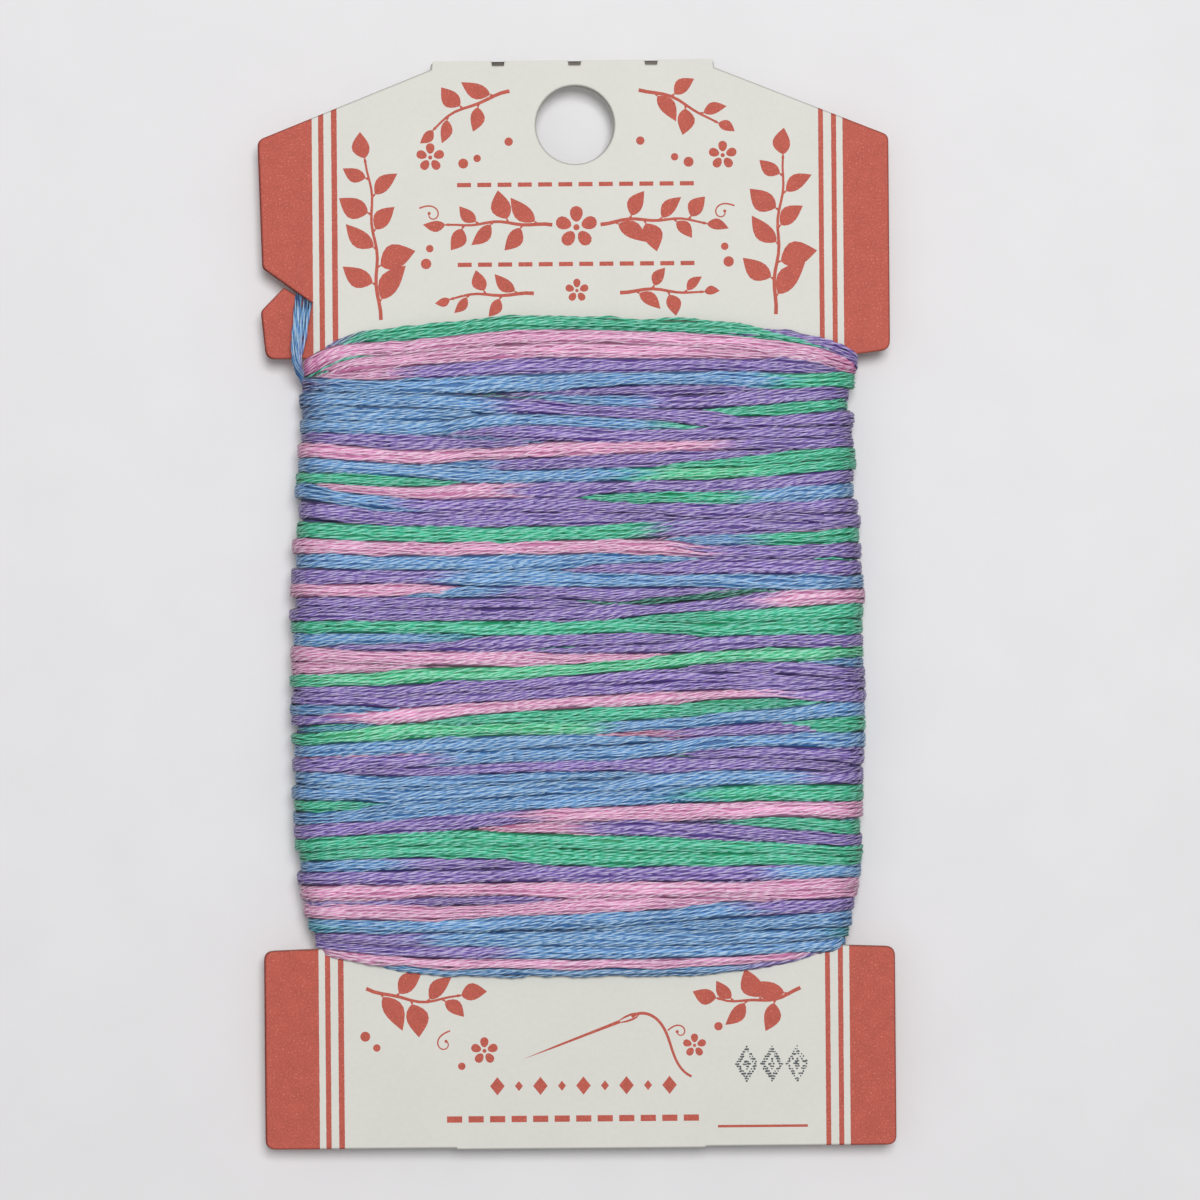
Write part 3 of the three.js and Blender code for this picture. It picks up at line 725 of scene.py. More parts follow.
def addWinding():
    random = np.random.RandomState(wound["seed"])
    grid = np.linspace(acrossCard[0], acrossCard[-1], 131)
    heights = np.stack([smoothThrough(*turnKnots(turn), grid) for turn in frontTurns])
    depths = np.stack([turnDepth(turn, grid) for turn in frontTurns])
    up, down = halfWidths(heights, depths)
    leftOrder = turnsOnTop(heights[:, 0], depths[:, 0])
    rightOrder = turnsOnTop(heights[:, -1], depths[:, -1])
    print("turns round the left and right ends:", len(leftOrder), len(rightOrder))
    pieces = []
    joins = {}  # by turn and side: how high up the card a turn comes round to the back
    for letter, turns in inParts(len(frontTurns), "ABCD"):
        skein = newSkein()
        for i in turns:
            goesRound = {-1: i in leftOrder, 1: i in rightOrder}
            layFrontTurn(skein, random, i, grid, (heights[i], depths[i], up[i], down[i]), goesRound, joins)
        pieces.append(skeinMesh("flossFront" + letter, skein))
    return pieces + layBackTurns(random, leftOrder, rightOrder, joins)


def endStretch(side, start, grid, height):
    # points round one end, from the front to the back, and the turn's height at the back
    last = height[0] if side < 0 else height[-1]
    join = np.clip(last, *turnEnds["backHeights"])
    middle = np.clip(last, *turnEnds["sideHeights"])
    length = math.pi * math.sqrt((windingForm["endDepth"] ** 2 + turnEnds["halfThick"] ** 2) / 2)
    angle = np.linspace(0, math.pi, int(length / ringStep))
    charted = np.interp(side * (start + windingForm["endDepth"] * np.sin(angle)), grid, height)
    share = np.minimum(1, angle / (math.pi / 2)) ** 3
    behind = smoothThrough([0, math.pi / 2, math.pi], [middle, middle, join], angle)
    points, out = roundTheEnd(side, start, charted * (1 - share) + behind * share, angle)
    return points, out, join


def lowerEnd(side, start, height):
    # points part of the way round one end, sinking beneath the turns beside it
    most = turnEnds["hiddenAngle"]
    angle = np.linspace(0, most, int(most * windingForm["endDepth"] / ringStep))
    points, out = roundTheEnd(side, start, np.full(len(angle), height), angle)
    return points - out * (turnEnds["hiddenSink"] * angle / most)[:, None], out


def layFrontTurn(skein, random, i, grid, rows, goesRound, joins):
    # rows are the turn's height, depth, and room above and below it, all along the grid
    height, depth, up, down = rows
    uneven = random.uniform(-wound["unevenEnds"], wound["unevenEnds"], 2) - windingForm["endDepth"]
    start = reachAt("left", height[0]) + uneven[0]
    end = reachAt("right", height[-1]) + uneven[1]
    x = np.linspace(-start, end, int((start + end) / ringStep))
    face, faceOut = overTheFace(x, np.interp(x, grid, height), 1)
    faceDepth = np.interp(x, grid, depth)
    stretches = [(face, faceOut, x, faceDepth)]
    for side, at, reach in ((-1, 0, start), (1, -1, end)):
        if goesRound[side]:
            points, out, joins[(i, side)] = endStretch(side, reach, grid, height)
        elif faceDepth[at] < wound["hiddenFrom"]:
            points, out = lowerEnd(side, reach, face[at, 1])
        else:
            continue
        points[:, 1:] += (face[at, 1:] - points[0, 1:]) * np.linspace(1, 0, len(points))[:, None] ** 2
        place = side * np.linspace(reach, reach + turnEnds["past"], len(points))
        lower = np.linspace(faceDepth[at], wound["endsAt"], len(points))
        if goesRound[side]:
            lower = np.interp(place, grid, depth)
        stretch = [values[1:] for values in (points, out, place, lower)]
        if side < 0:
            stretches.insert(0, [values[::-1] for values in stretch])
        else:
            stretches.append(stretch)
    surface, out, across, deep = (np.concatenate(values) for values in zip(*stretches))
    for cut in shownStretches(deep):
        layTurn(skein, random, surface[cut], out[cut], deep[cut], np.interp(across[cut], grid, up),
                np.interp(across[cut], grid, down), frontTurns[i][2], across[cut],
                isOutermost(i, len(frontTurns)))


def shownStretches(deep, shortest=10):
    # where the turn isn't hidden, with two rings more at each side
    shown = deep < wound["hiddenFrom"]
    edges = np.flatnonzero(np.diff(np.concatenate([[0], shown.astype(int), [0]])))
    for first, last in zip(edges[::2], edges[1::2]):
        if last - first >= shortest:
            yield slice(max(0, first - 2), min(len(deep), last + 2))


def layBackTurns(random, leftOrder, rightOrder, joins):
    count = min(len(leftOrder), len(rightOrder))
    lefts, rights = (
        [order[int(round(k))] for k in np.linspace(0, len(order) - 1, count)]
        for order in (leftOrder, rightOrder)
    )
    half = turnEnds["backHalf"]
    grid = np.linspace(-half, half, 101)
    places = np.linspace(-half, half, 5)
    first, last = turnEnds["backEdges"]
    heights = []
    for k in range(count):
        share = first + (last - first) * k / (count - 1)
        drift = random.normal(0, turnEnds["backDrift"], 3)
        drift = np.clip(drift, -turnEnds["backMost"], turnEnds["backMost"])
        middle = [float(turnHeight(share, x)) + d for x, d in zip(places[1:-1], drift)]
        knots = [joins[(lefts[k], -1)], *middle, joins[(rights[k], 1)]]
        heights.append(smoothThrough(places, knots, grid))
    heights = np.stack(heights)
    up, down = halfWidths(heights, np.zeros_like(heights))
    x = np.linspace(half, -half, int(2 * half / ringStep))
    pieces = []
    for letter, turns in inParts(count, "AB"):
        skein = newSkein()
        for k in turns:
            surface, out = overTheFace(x, np.interp(x, grid, heights[k]), -1)
            change = random.uniform(-turnEnds["backChange"], turnEnds["backChange"])
            plan = [frontTurns[lefts[k]][2][0], change, frontTurns[rights[k]][2][-1]]
            layTurn(skein, random, surface, out, 0 * x, np.interp(x, grid, up[k]),
                    np.interp(x, grid, down[k]), plan, x, isOutermost(k, count))
        pieces.append(skeinMesh("flossBack" + letter, skein))
    return pieces


# the turns underneath, coloured dark as painted shade, which show only in the gaps
core = {
    "inset": 0.62, "endsOut": 0.25, "endsAt": 21.5, "crownHalf": 20.0, "overFloor": 0.1,  # mm
    "first": 0.02, "last": 0.985,  # how far down the winding it reaches
    "sections": 60, "around": 14, "endSteps": 8,
}


def coreSection(down):
    # one section's points: over the front, round the right end, along the back, round the left end
    front = cardHigh.z + formAt("front", down) - core["inset"]
    back = max(core["overFloor"], cardLow.z - formAt("back", down) + core["inset"])
    half = (front - back) / 2
    reach = windingForm["endDepth"] - core["inset"]
    left, right = (
        reachAt(name, float(turnHeight(down, x))) - windingForm["endDepth"] + core["endsOut"]
        for name, x in (("left", -core["endsAt"]), ("right", core["endsAt"]))
    )
    angles = np.linspace(0, math.pi, core["endSteps"] + 1)[1:-1]
    points = [(x, front + windingForm["crown"] * (1 - (x / core["crownHalf"]) ** 2))
              for x in np.linspace(-left, right, core["around"])]
    points += [(right + reach * math.sin(angle), back + half * (1 + math.cos(angle))) for angle in angles]
    points += [(x, back) for x in np.linspace(right, -left, core["around"])]
    points += [(-left - reach * math.sin(angle), back + half * (1 + math.cos(angle)))
               for angle in angles[::-1]]
    return [(x * mm, float(turnHeight(down, x)) * mm, z * mm) for x, z in points]


def addCore():
    sections = [coreSection(down) for down in np.linspace(core["first"], core["last"], core["sections"])]
    count = len(sections[0])
    points = [point for section in sections for point in section]
    faces = []
    for start in range(0, len(points) - count, count):
        for k in range(count):
            a, b = start + k, start + (k + 1) % count
            faces.append((a, a + count, b + count, b))
    faces.append(tuple(range(count)))
    faces.append(tuple(range(len(points) - count, len(points)))[::-1])
    piece = pieceFrom("flossCore", points, faces)
    makeActive(piece)
    bpy.ops.object.mode_set(mode="EDIT")
    bpy.ops.mesh.select_all(action="SELECT")
    bpy.ops.mesh.normals_make_consistent(inside=False)
    bpy.ops.object.mode_set(mode="OBJECT")
    bpy.ops.object.shade_smooth()
    return piece


looseFloss = addLooseEnd()
print("free end laid")
windingPieces = addWinding()
windingPieces.append(addCore())
for piece in windingPieces:
    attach(piece, "root")
    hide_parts("winding")
print("winding laid")


# helpers for materials: a socket takes a value or another node's output
def feed(tree, target, sockets):
    for name, value in sockets.items():
        if isinstance(value, bpy.types.NodeSocket):
            tree.links.new(value, target.inputs[name])
        else:
            target.inputs[name].default_value = value


def node(tree, kind, sockets=(), **settings):
    made = tree.nodes.new(kind)
    for name, value in settings.items():
        setattr(made, name, value)
    feed(tree, made, dict(sockets))
    return made


def mathNode(tree, operation, *values, clamp=False):
    sockets = dict(enumerate(values))
    return node(tree, "ShaderNodeMath", sockets, operation=operation, use_clamp=clamp).outputs[0]


def mixColour(tree, share, first, second, blend="MIX"):
    sockets = {0: share, 6: first, 7: second}
    return node(tree, "ShaderNodeMix", sockets, data_type="RGBA", blend_type=blend).outputs[2]


def shaded(tree, tint, light):
    # the colour made lighter or darker
    grey = node(tree, "ShaderNodeCombineColor", {0: light, 1: light, 2: light})
    return mixColour(tree, 1.0, tint, grey.outputs[0], "MULTIPLY")


def overObject(tree):
    return node(tree, "ShaderNodeTexCoord").outputs["Object"]


def noise(tree, at, scale, detail=2.0, **settings):
    sockets = {"Vector": at, "Scale": scale, "Detail": detail}
    return node(tree, "ShaderNodeTexNoise", sockets, **settings).outputs["Fac"]


def stretched(tree, at, scale):
    return node(tree, "ShaderNodeMapping", {"Vector": at, "Scale": scale}).outputs["Vector"]


def varied(tree, base, pattern, amount):
    # the base value, a little more or less of it where the pattern is over or under its middle
    return mathNode(tree, "MULTIPLY_ADD", mathNode(tree, "SUBTRACT", pattern, 0.5), amount, base)


def bumped(tree, height, distance, strength=1.0):
    sockets = {"Height": height, "Distance": distance, "Strength": strength}
    return node(tree, "ShaderNodeBump", sockets).outputs["Normal"]


def newGroup(name, inputs, outputs):
    # Colour is the one output that is a colour, and a colour's input is four numbers
    group = bpy.data.node_groups.new(name, "ShaderNodeTree")
    for label, value in inputs.items():
        kind = "NodeSocketColor" if isinstance(value, tuple) else "NodeSocketFloat"
        group.interface.new_socket(label, in_out="INPUT", socket_type=kind).default_value = value
    for label in outputs:
        kind = "NodeSocketColor" if label == "Colour" else "NodeSocketFloat"
        group.interface.new_socket(label, in_out="OUTPUT", socket_type=kind)
    return group, group.nodes.new("NodeGroupInput").outputs, group.nodes.new("NodeGroupOutput")


def grouped(tree, group, sockets=()):
    return node(tree, "ShaderNodeGroup", sockets, node_tree=group).outputs


def newMaterial(name, sockets):
    material = bpy.data.materials.new(name)
    material.use_nodes = True
    shader = material.node_tree.nodes["Principled BSDF"]
    feed(material.node_tree, shader, sockets)
    return material, material.node_tree, shader


# the floss: cotton fibres along each strand, over its dye with its painted shade and highlights
cotton = {
    "fibreStretch": (0.9, 14.0, 1.0), "fibreScale": 1.6, "fibreDepth": 0.5,
    "patchScale": 700.0, "patchDepth": 0.25,
    "roughness": 0.42, "roughnessRange": 0.2,
    "shader": {"Specular IOR Level": 0.4, "Sheen Weight": 0.12, "Sheen Roughness": 0.5},
    "bumpDistance": 0.00003, "bumpStrength": 0.6,
    # the hidden turns' colours: dark navy, painted shade
    "hiddenGrain": (60.0, 1500.0, 900.0), "hiddenShadeColours": (colour(52, 62, 116), colour(76, 72, 124)),
    "hiddenRoughness": 0.8,
}


def cottonFibreGroup():
    group, given, result = newGroup(
        "cottonFibre", {"DyeAndPaintedLight": (0.5, 0.5, 0.5, 1), "Depth": cotton["fibreDepth"]},
        ("Colour", "Roughness", "Height"),
    )
    lay = node(group, "ShaderNodeUVMap", uv_map="lay").outputs["UV"]
    lay = stretched(group, lay, cotton["fibreStretch"])
    fibres = noise(group, lay, cotton["fibreScale"], 3.0, noise_dimensions="2D")
    patches = noise(group, overObject(group), cotton["patchScale"])
    light = mathNode(group, "MULTIPLY", varied(group, 1.0, fibres, given["Depth"]),
                     varied(group, 1.0, patches, cotton["patchDepth"]))
    feed(group, result, {
        "Colour": shaded(group, given["DyeAndPaintedLight"], light),
        "Roughness": mathNode(group, "MULTIPLY_ADD", fibres, cotton["roughnessRange"], cotton["roughness"]),
        "Height": fibres,
    })
    return group


cottonFibre = cottonFibreGroup()


def flossMaterial(name):
    material, tree, shader = newMaterial(name, cotton["shader"])
    dyeAndPaintedLight = node(tree, "ShaderNodeVertexColor", layer_name="dyeAndPaintedLight").outputs["Color"]
    fibre = grouped(tree, cottonFibre, {"DyeAndPaintedLight": dyeAndPaintedLight})
    feed(tree, shader, {
        "Base Color": fibre["Colour"],
        "Roughness": fibre["Roughness"],
        "Normal": bumped(tree, fibre["Height"], cotton["bumpDistance"], cotton["bumpStrength"]),
    })
    return material


def coreShadeMaterial():
    # painted shade: the hidden turns are coloured dark navy
    material, tree, shader = newMaterial("hiddenTurnsShade", {"Roughness": cotton["hiddenRoughness"]})
    strands = noise(tree, stretched(tree, overObject(tree), cotton["hiddenGrain"]), 1.0)
    feed(tree, shader, {"Base Color": mixColour(tree, strands, *cotton["hiddenShadeColours"])})
    return material


woundFloss = flossMaterial("woundFloss")
for piece in windingPieces[:-1]:
    piece.data.materials.append(woundFloss)
windingPieces[-1].data.materials.append(coreShadeMaterial())
looseFloss.data.materials.append(flossMaterial("freeFloss"))
print("floss dyed")


# the card blank: two leaves folded together at the top, die cut with pressed edges
cardBlank = {
    "leafThickness": 0.385,  # mm
    "foldDepth": 0.2,  # mm, how much of them runs into the fold unpressed
    "secondLeafShift": (-0.09, -0.02),  # mm, how far the back leaf lies off the front one
    "pressWidths": (0.05, 0.1),  # mm, across the pressed edge
    "pressDepths": (0.11, 0.035),  # mm, how far each step of it is pressed down
    "rimDrop": 0.06,  # mm below the face where the rim's wear and painted shade are darkest
    "crease": math.radians(35),  # a sharper angle between two faces stays an edge
}


def sameHeight(value, wanted):
    return abs(value - wanted) < 2e-6


def spot(vertex):
    return round(vertex.co.x, 8), round(vertex.co.y, 8)


def addLeaf(name, side):
    # side 1 is the printed front leaf, -1 the back one
    leaf = newPiece(name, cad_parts["card"].data.copy())
    leaf.data.materials.clear()
    outer = (cardHigh.z if side > 0 else cardLow.z) * mm
    inner = outer - side * cardBlank["leafThickness"] * mm
    middle = (cardHigh.z + cardLow.z) / 2 * mm
    shift = (0, 0) if side > 0 else cardBlank["secondLeafShift"]
    foldStart = (cardHigh.y - cardBlank["foldDepth"]) * mm
    for vertex in leaf.data.vertices:
        facesOut = (vertex.co.z > middle) == (side > 0)
        vertex.co.z = outer if facesOut else inner
        vertex.co.x += shift[0] * mm
        vertex.co.y += shift[1] * mm
    makeActive(leaf)
    bpy.ops.object.mode_set(mode="EDIT")
    bpy.ops.mesh.select_all(action="SELECT")
    bpy.ops.mesh.remove_doubles(threshold=1e-6)
    bpy.ops.mesh.dissolve_limited(angle_limit=math.radians(0.5))
    bpy.ops.mesh.select_all(action="DESELECT")
    bpy.ops.mesh.select_mode(type="FACE")
    edit = bmesh.from_edit_mesh(leaf.data)
    for face in edit.faces:
        face.select = face.normal.z * side > 0.9
    bmesh.update_edit_mesh(leaf.data)
    for width, depth in zip(cardBlank["pressWidths"], cardBlank["pressDepths"]):
        edit = bmesh.from_edit_mesh(leaf.data)
        rim = {spot(vertex) for vertex in edit.verts if vertex.select and vertex.co.y < foldStart}
        bpy.ops.mesh.inset(thickness=width * mm, depth=0, use_boundary=True, use_even_offset=True)
        edit = bmesh.from_edit_mesh(leaf.data)
        for vertex in edit.verts:
            if sameHeight(vertex.co.z, outer) and spot(vertex) in rim:
                vertex.co.z = outer - side * depth * mm
        bmesh.update_edit_mesh(leaf.data)
    bpy.ops.object.mode_set(mode="OBJECT")
    bpy.ops.object.shade_smooth_by_angle(angle=cardBlank["crease"])
    for face in leaf.data.polygons:
        if abs(face.normal.z) > 0.999:
            face.use_smooth = False
    return leaf


# the fold itself: bars in the stretches between its cuts, and dark paper sunk in the cuts, partly torn paper
# and partly painted shade, in mm
fold = {
    "places": ((-11.05, -6.4), (-5.4, -0.35), (0.65, 5.7), (6.7, 11.05)),
    "depth": 0.5, "setBack": 0, "sink": 0.005,
    "round": 0.22, "overFloor": 0.005,
}
foldCuts = {
    "places": ((-6.42, -5.38), (-0.37, 0.67), (5.68, 6.72)),
    "depth": 0.4, "setBack": 0.04, "sink": 0.3,  # sink is how far below the printed face it stops
}


def addBar(low, high, shape):
    top, bottom = cardHigh.z - shape["sink"], cardLow.z + max(shape["sink"], fold["overFloor"])
    bpy.ops.mesh.primitive_cube_add(size=1, location=(0, 0, 0))
    bar = bpy.context.object
    bar.scale = ((high - low) * mm, shape["depth"] * mm, (top - bottom) * mm)
    middleY = cardHigh.y - shape["setBack"] - shape["depth"] / 2
    bar.location = ((low + high) / 2 * mm, middleY * mm, (top + bottom) / 2 * mm)
    bpy.ops.object.transform_apply(location=True, rotation=False, scale=True)
    bpy.ops.object.mode_set(mode="EDIT")
    bpy.ops.mesh.select_all(action="DESELECT")
    edit = bmesh.from_edit_mesh(bar.data)
    for edge in edit.edges:
        atTop = all(vertex.co.y > (cardHigh.y - 0.2) * mm for vertex in edge.verts)
        lengthwise = abs(edge.verts[0].co.x - edge.verts[1].co.x) > 0.5 * mm
        edge.select = atTop and lengthwise
    bmesh.update_edit_mesh(bar.data)
    bpy.ops.mesh.bevel(offset=fold["round"] * mm, segments=4, affect="EDGES")
    bpy.ops.object.mode_set(mode="OBJECT")
    return bar


def addFold(name, shape):
    bars = [addBar(low, high, shape) for low, high in shape["places"]]
    makeActive(bars[0])
    for bar in bars:
        bar.select_set(True)
    bpy.ops.object.join()
    joined = bpy.context.object
    joined.name = name
    bpy.ops.object.shade_smooth_by_angle(angle=cardBlank["crease"])
    return joined


frontLeaf = addLeaf("cardFrontLeaf", 1)
backLeaf = addLeaf("cardBackLeaf", -1)
cardFold = addFold("cardFold", fold)
cardFoldCutsShade = addFold("cardFoldCutsShade", foldCuts)
for piece in (frontLeaf, backLeaf, cardFold, cardFoldCutsShade):
    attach(piece, "root")
    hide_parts("card")
print("card cut")


# the print: plain leafy branches, blossoms, berries, running stitches and a needle with its thread,
# in mm and degrees
printed = {
    "lowest": 0.003, "thickness": 0.004,  # the ink's underside and depth over the card
    "step": 0.0005, "steps": 12,  # crossing shapes lie this much over each other
    "stemWidth": 0.24, "tendrilWidth": 0.13,
    # x, y, heading, length, how much it curls, leaf length, number of leaves
    "sprigs": [
        (-15.3, 22.6, 92, 12.6, 4, 3.3, 9), (15.9, 22.8, 88, 12.4, -4, 3.3, 9),
        (-5.0, 40.6, 190, 6.6, 26, 2.5, 5), (5.2, 40.6, -10, 6.6, -26, 2.5, 5),
        (-1.7, 30.0, 172, 8.2, 14, 2.7, 7), (2.1, 30.0, 8, 8.2, -14, 2.7, 7),
        (-3.2, 24.6, 176, 6.4, 10, 2.1, 5), (3.6, 24.6, 4, 6.4, -10, 2.1, 5),
        (-16.9, -30.2, -28, 7.4, 40, 3.1, 6), (17.4, -30.4, 208, 6.6, -40, 2.9, 6),
    ],
    # x, y, size
    "flowers": [(0.2, 29.8, 1.7), (-11.3, 35.4, 1.15), (11.8, 35.4, 1.15), (0.2, 24.8, 0.95),
                (-7.6, -35.2, 1.1), (9.0, -34.9, 0.95)],
    "berries": [(-8.7, 34.9, 0.4), (-7.6, 35.3, 0.3), (9.1, 34.9, 0.4), (8.0, 35.3, 0.3),
                (-11.7, 27.0, 0.42), (-11.4, 28.2, 0.3), (12.2, 27.0, 0.42), (11.9, 28.2, 0.3),
                (-5.1, 36.6, 0.34), (5.3, 36.6, 0.34), (-17.0, -34.0, 0.4), (-16.1, -34.9, 0.3),
                (10.9, -33.4, 0.34), (-9.4, -36.4, 0.3)],
    # x, y, heading, size: thin curling tendrils
    "tendrils": [(-12.2, 31.4, 20, -1.3), (12.7, 31.4, 160, 1.3),
                 (-10.3, -33.6, 200, 1.3), (6.9, -33.7, 40, -1.1)],
    # x from, x to, y, dash, gap, thickness
    "stitches": [(-9.2, 9.8, 33.2, 1.1, 0.5, 0.34), (-9.2, 9.8, 26.9, 1.1, 0.5, 0.34),
                 (-10.6, 10.9, -40.6, 1.2, 0.5, 0.5)],
    "diamonds": (-6.6, 7.0, -38.0, 9, 0.72),  # x from, x to, y, how many, half height
    "needle": ((-4.6, -35.9), (4.6, -32.4), 0.55),  # point, head, widest
    "rule": (10.8, 17.9, -41.3, 0.2),  # x from, x to, y, thickness
}

# how these are drawn, as shares of their own size where no unit is given
drawn = {
    "sway": (9, 0.9),  # a branch sways this many degrees, and this quickly from step to step
    "leafLean": (46, 8),  # degrees a leaf leans away, and how much more each of three in turn
    "leafStem": 0.3,  # mm
    "leafSmaller": 0.4, "leafUneven": 0.14,  # towards the branch's tip, and every third leaf
    "leafPlump": (0.25, 0.04),  # a leaf's half width, and how much more each of three in turn
    "leafBend": 0.08, "leafBelly": 0.8,  # under 1, a leaf is widest nearer its stalk
    "leafOutline": (0, 0.08, 0.2, 0.34, 0.5, 0.66, 0.8, 0.92, 1),
    "petals": 5, "petalOut": 0.62, "petalLong": 0.37, "petalWide": 0.3, "petalTip": 0.05, "heart": 0.15,
    "petalCorners": 12, "heartCorners": 8,
    # radians a line turns in its first steps, and how much that grows; its steps, and how long they are
    "tendrilTurn": (0.02, 0.011), "tendrilSteps": 22, "tendrilStep": 0.11,
    "threadTurn": (-0.16, 0.0034), "threadSteps": 40, "threadStep": 0.19,  # mm
    "threadHeading": math.radians(35),
    # how far along the needle, and how wide it is there
    "shaft": ((0, 0), (0.3, 0.3), (0.7, 0.42), (0.84, 0.5)),
    "eye": ((0.84, 0.5), (0.89, 0.95), (0.94, 1.05), (0.98, 0.8), (1.0, 0.3)), "eyeMiddle": 0.94,
    "hole": 0.2,
}


def newPrint():
    return {"points": [], "faces": [], "shapes": 0}


def inkLevels(sheet):
    # the underside and the top of the next shape
    low = cardHigh.z + printed["lowest"]
    high = low + printed["thickness"] + printed["step"] * (sheet["shapes"] % printed["steps"])
    sheet["shapes"] += 1
    return low * mm, high * mm


def addShape(sheet, outline):
    # a thin closed patch of ink
    start, count = len(sheet["points"]), len(outline)
    low, high = inkLevels(sheet)
    area = sum(a[0] * b[1] - b[0] * a[1] for a, b in zip(outline, outline[1:] + outline[:1]))
    outline = outline if area > 0 else outline[::-1]
    sheet["points"] += [(x * mm, y * mm, low) for x, y in outline]
    sheet["points"] += [(x * mm, y * mm, high) for x, y in outline]
    sheet["faces"].append(tuple(range(start, start + count))[::-1])
    sheet["faces"].append(tuple(range(start + count, start + 2 * count)))
    for k in range(count):
        after = (k + 1) % count
        sheet["faces"].append((start + k, start + after, start + count + after, start + count + k))


def addRound(sheet, x, y, radius, corners=12):
    angles = [2 * math.pi * step / corners for step in range(corners)]
    addShape(sheet, [(x + math.cos(angle) * radius, y + math.sin(angle) * radius) for angle in angles])


def turned(start, angle, along, aside):
    # the point that far along a heading from the start, and that far to its left
    return (start[0] + math.cos(angle) * along - math.sin(angle) * aside,
            start[1] + math.sin(angle) * along + math.cos(angle) * aside)


def walk(start, angles, step):
    # points a step apart, each one at the next heading
    points = [start]
    for angle in angles:
        points.append(turned(points[-1], angle, step, 0))
    return points


def addPrintedLeaf(sheet, start, heading, length, plump):
    # a solid pointed leaf, leaning a little to one side
    rows = {1: [], -1: []}
    for share in drawn["leafOutline"]:
        lean = drawn["leafBend"] * length * math.sin(math.pi * share)
        bow = plump * math.sin(math.pi * share ** drawn["leafBelly"]) * length
        for side in (1, -1):
            rows[side].append(turned(start, heading, share * length, bow * side + lean))
    addShape(sheet, rows[1] + rows[-1][-2:0:-1])


def addStroke(sheet, points, width, taper=0.45):
    # a thin line that tapers a little to its far end, in four-sided steps
    low, high = inkLevels(sheet)
    start = len(sheet["points"])
    for k, (x, y) in enumerate(points):
        ahead = points[min(k + 1, len(points) - 1)]
        behind = points[max(k - 1, 0)]
        dx, dy = ahead[0] - behind[0], ahead[1] - behind[1]
        half = width / 2 * (1 - taper * k / (len(points) - 1)) / math.hypot(dx, dy)
        for side, z in ((1, low), (-1, low), (-1, high), (1, high)):
            sheet["points"].append(((x - side * dy * half) * mm, (y + side * dx * half) * mm, z))
    for k in range(len(points) - 1):
        here = start + 4 * k
        for a in range(4):
            b = (a + 1) % 4
            sheet["faces"].append((here + a, here + 4 + a, here + 4 + b, here + b))
    last = start + 4 * (len(points) - 1)
    sheet["faces"] += [(start, start + 1, start + 2, start + 3), (last + 3, last + 2, last + 1, last)]


def addSprig(sheet, x, y, heading, length, curl, leafLength, leaves):
    # a curling branch with leaves on alternate sides and one at its tip
    steps = 2 * leaves
    sway, quickly = drawn["sway"]
    leafLean, moreLean = drawn["leafLean"]
    plump, morePlump = drawn["leafPlump"]
    headings = [math.radians(heading + curl * (k + 1) / steps + sway * math.sin(k * quickly))
                for k in range(steps)]
    points = walk((x, y), headings, length / steps)
    addStroke(sheet, points, printed["stemWidth"] * 1.25)
    for k in range(leaves):
        place = 2 * (k + 1)
        side = 1 if k % 2 else -1
        away = 0 if k == leaves - 1 else (leafLean + moreLean * (k % 3)) * side
        lean = headings[place - 1] + math.radians(away)
        size = leafLength * (1 - drawn["leafSmaller"] * k / leaves) * (1 - drawn["leafUneven"] * (k % 3 == 1))
        start = turned(points[place], lean, drawn["leafStem"], 0)
        addStroke(sheet, [points[place], start], printed["stemWidth"])
        addPrintedLeaf(sheet, start, lean, size, plump + morePlump * (k % 3))


def addFlower(sheet, x, y, size):
    for k in range(drawn["petals"]):
        angle = math.radians(90 + 360 / drawn["petals"] * k)
        centre = turned((x, y), angle, size * drawn["petalOut"], 0)
        petal = []
        for step in range(drawn["petalCorners"]):
            turn = 2 * math.pi * step / drawn["petalCorners"]
            wide = drawn["petalWide"] + drawn["petalTip"] * math.cos(turn)
            along = math.cos(turn) * size * drawn["petalLong"]
            petal.append(turned(centre, angle, along, math.sin(turn) * size * wide))
        addShape(sheet, petal)
    addRound(sheet, x, y, size * drawn["heart"], drawn["heartCorners"])


def addTendril(sheet, x, y, heading, size):
    # a line that curls in on itself; a negative size curls the other way
    turn, more = drawn["tendrilTurn"]
    angles = [math.radians(heading) + math.copysign(turn * k + more * k * k, size)
              for k in range(drawn["tendrilSteps"])]
    points = walk((x, y), angles, abs(size) * drawn["tendrilStep"])
    addStroke(sheet, points, printed["tendrilWidth"], 0.3)
    addRound(sheet, *points[-1], printed["tendrilWidth"], 8)


def addNeedle(sheet):
    point, head, width = printed["needle"]
    size = math.hypot(head[0] - point[0], head[1] - point[1])
    heading = math.atan2(head[1] - point[1], head[0] - point[0])

    def at(share, aside):
        return turned(point, heading, share * size, aside)

    addShape(sheet, [at(share, -reach * width / 2) for share, reach in drawn["shaft"]]
             + [at(share, reach * width / 2) for share, reach in drawn["shaft"][:0:-1]])
    for side in (-1, 1):
        outer = [at(share, side * reach * width / 2) for share, reach in drawn["eye"]]
        inner = [at(share, side * reach * width * drawn["hole"]) for share, reach in drawn["eye"]]
        addShape(sheet, outer + inner[::-1])
    turn, more = drawn["threadTurn"]
    angles = [drawn["threadHeading"] + turn * k + more * k * k for k in range(drawn["threadSteps"])]
    thread = walk(at(drawn["eyeMiddle"], 0), angles, drawn["threadStep"])
    addStroke(sheet, thread, printed["stemWidth"], 0.2)


def addDash(sheet, low, high, y, thick):
    below, above = y - thick / 2, y + thick / 2
    addShape(sheet, [(low, below), (high, below), (high, above), (low, above)])


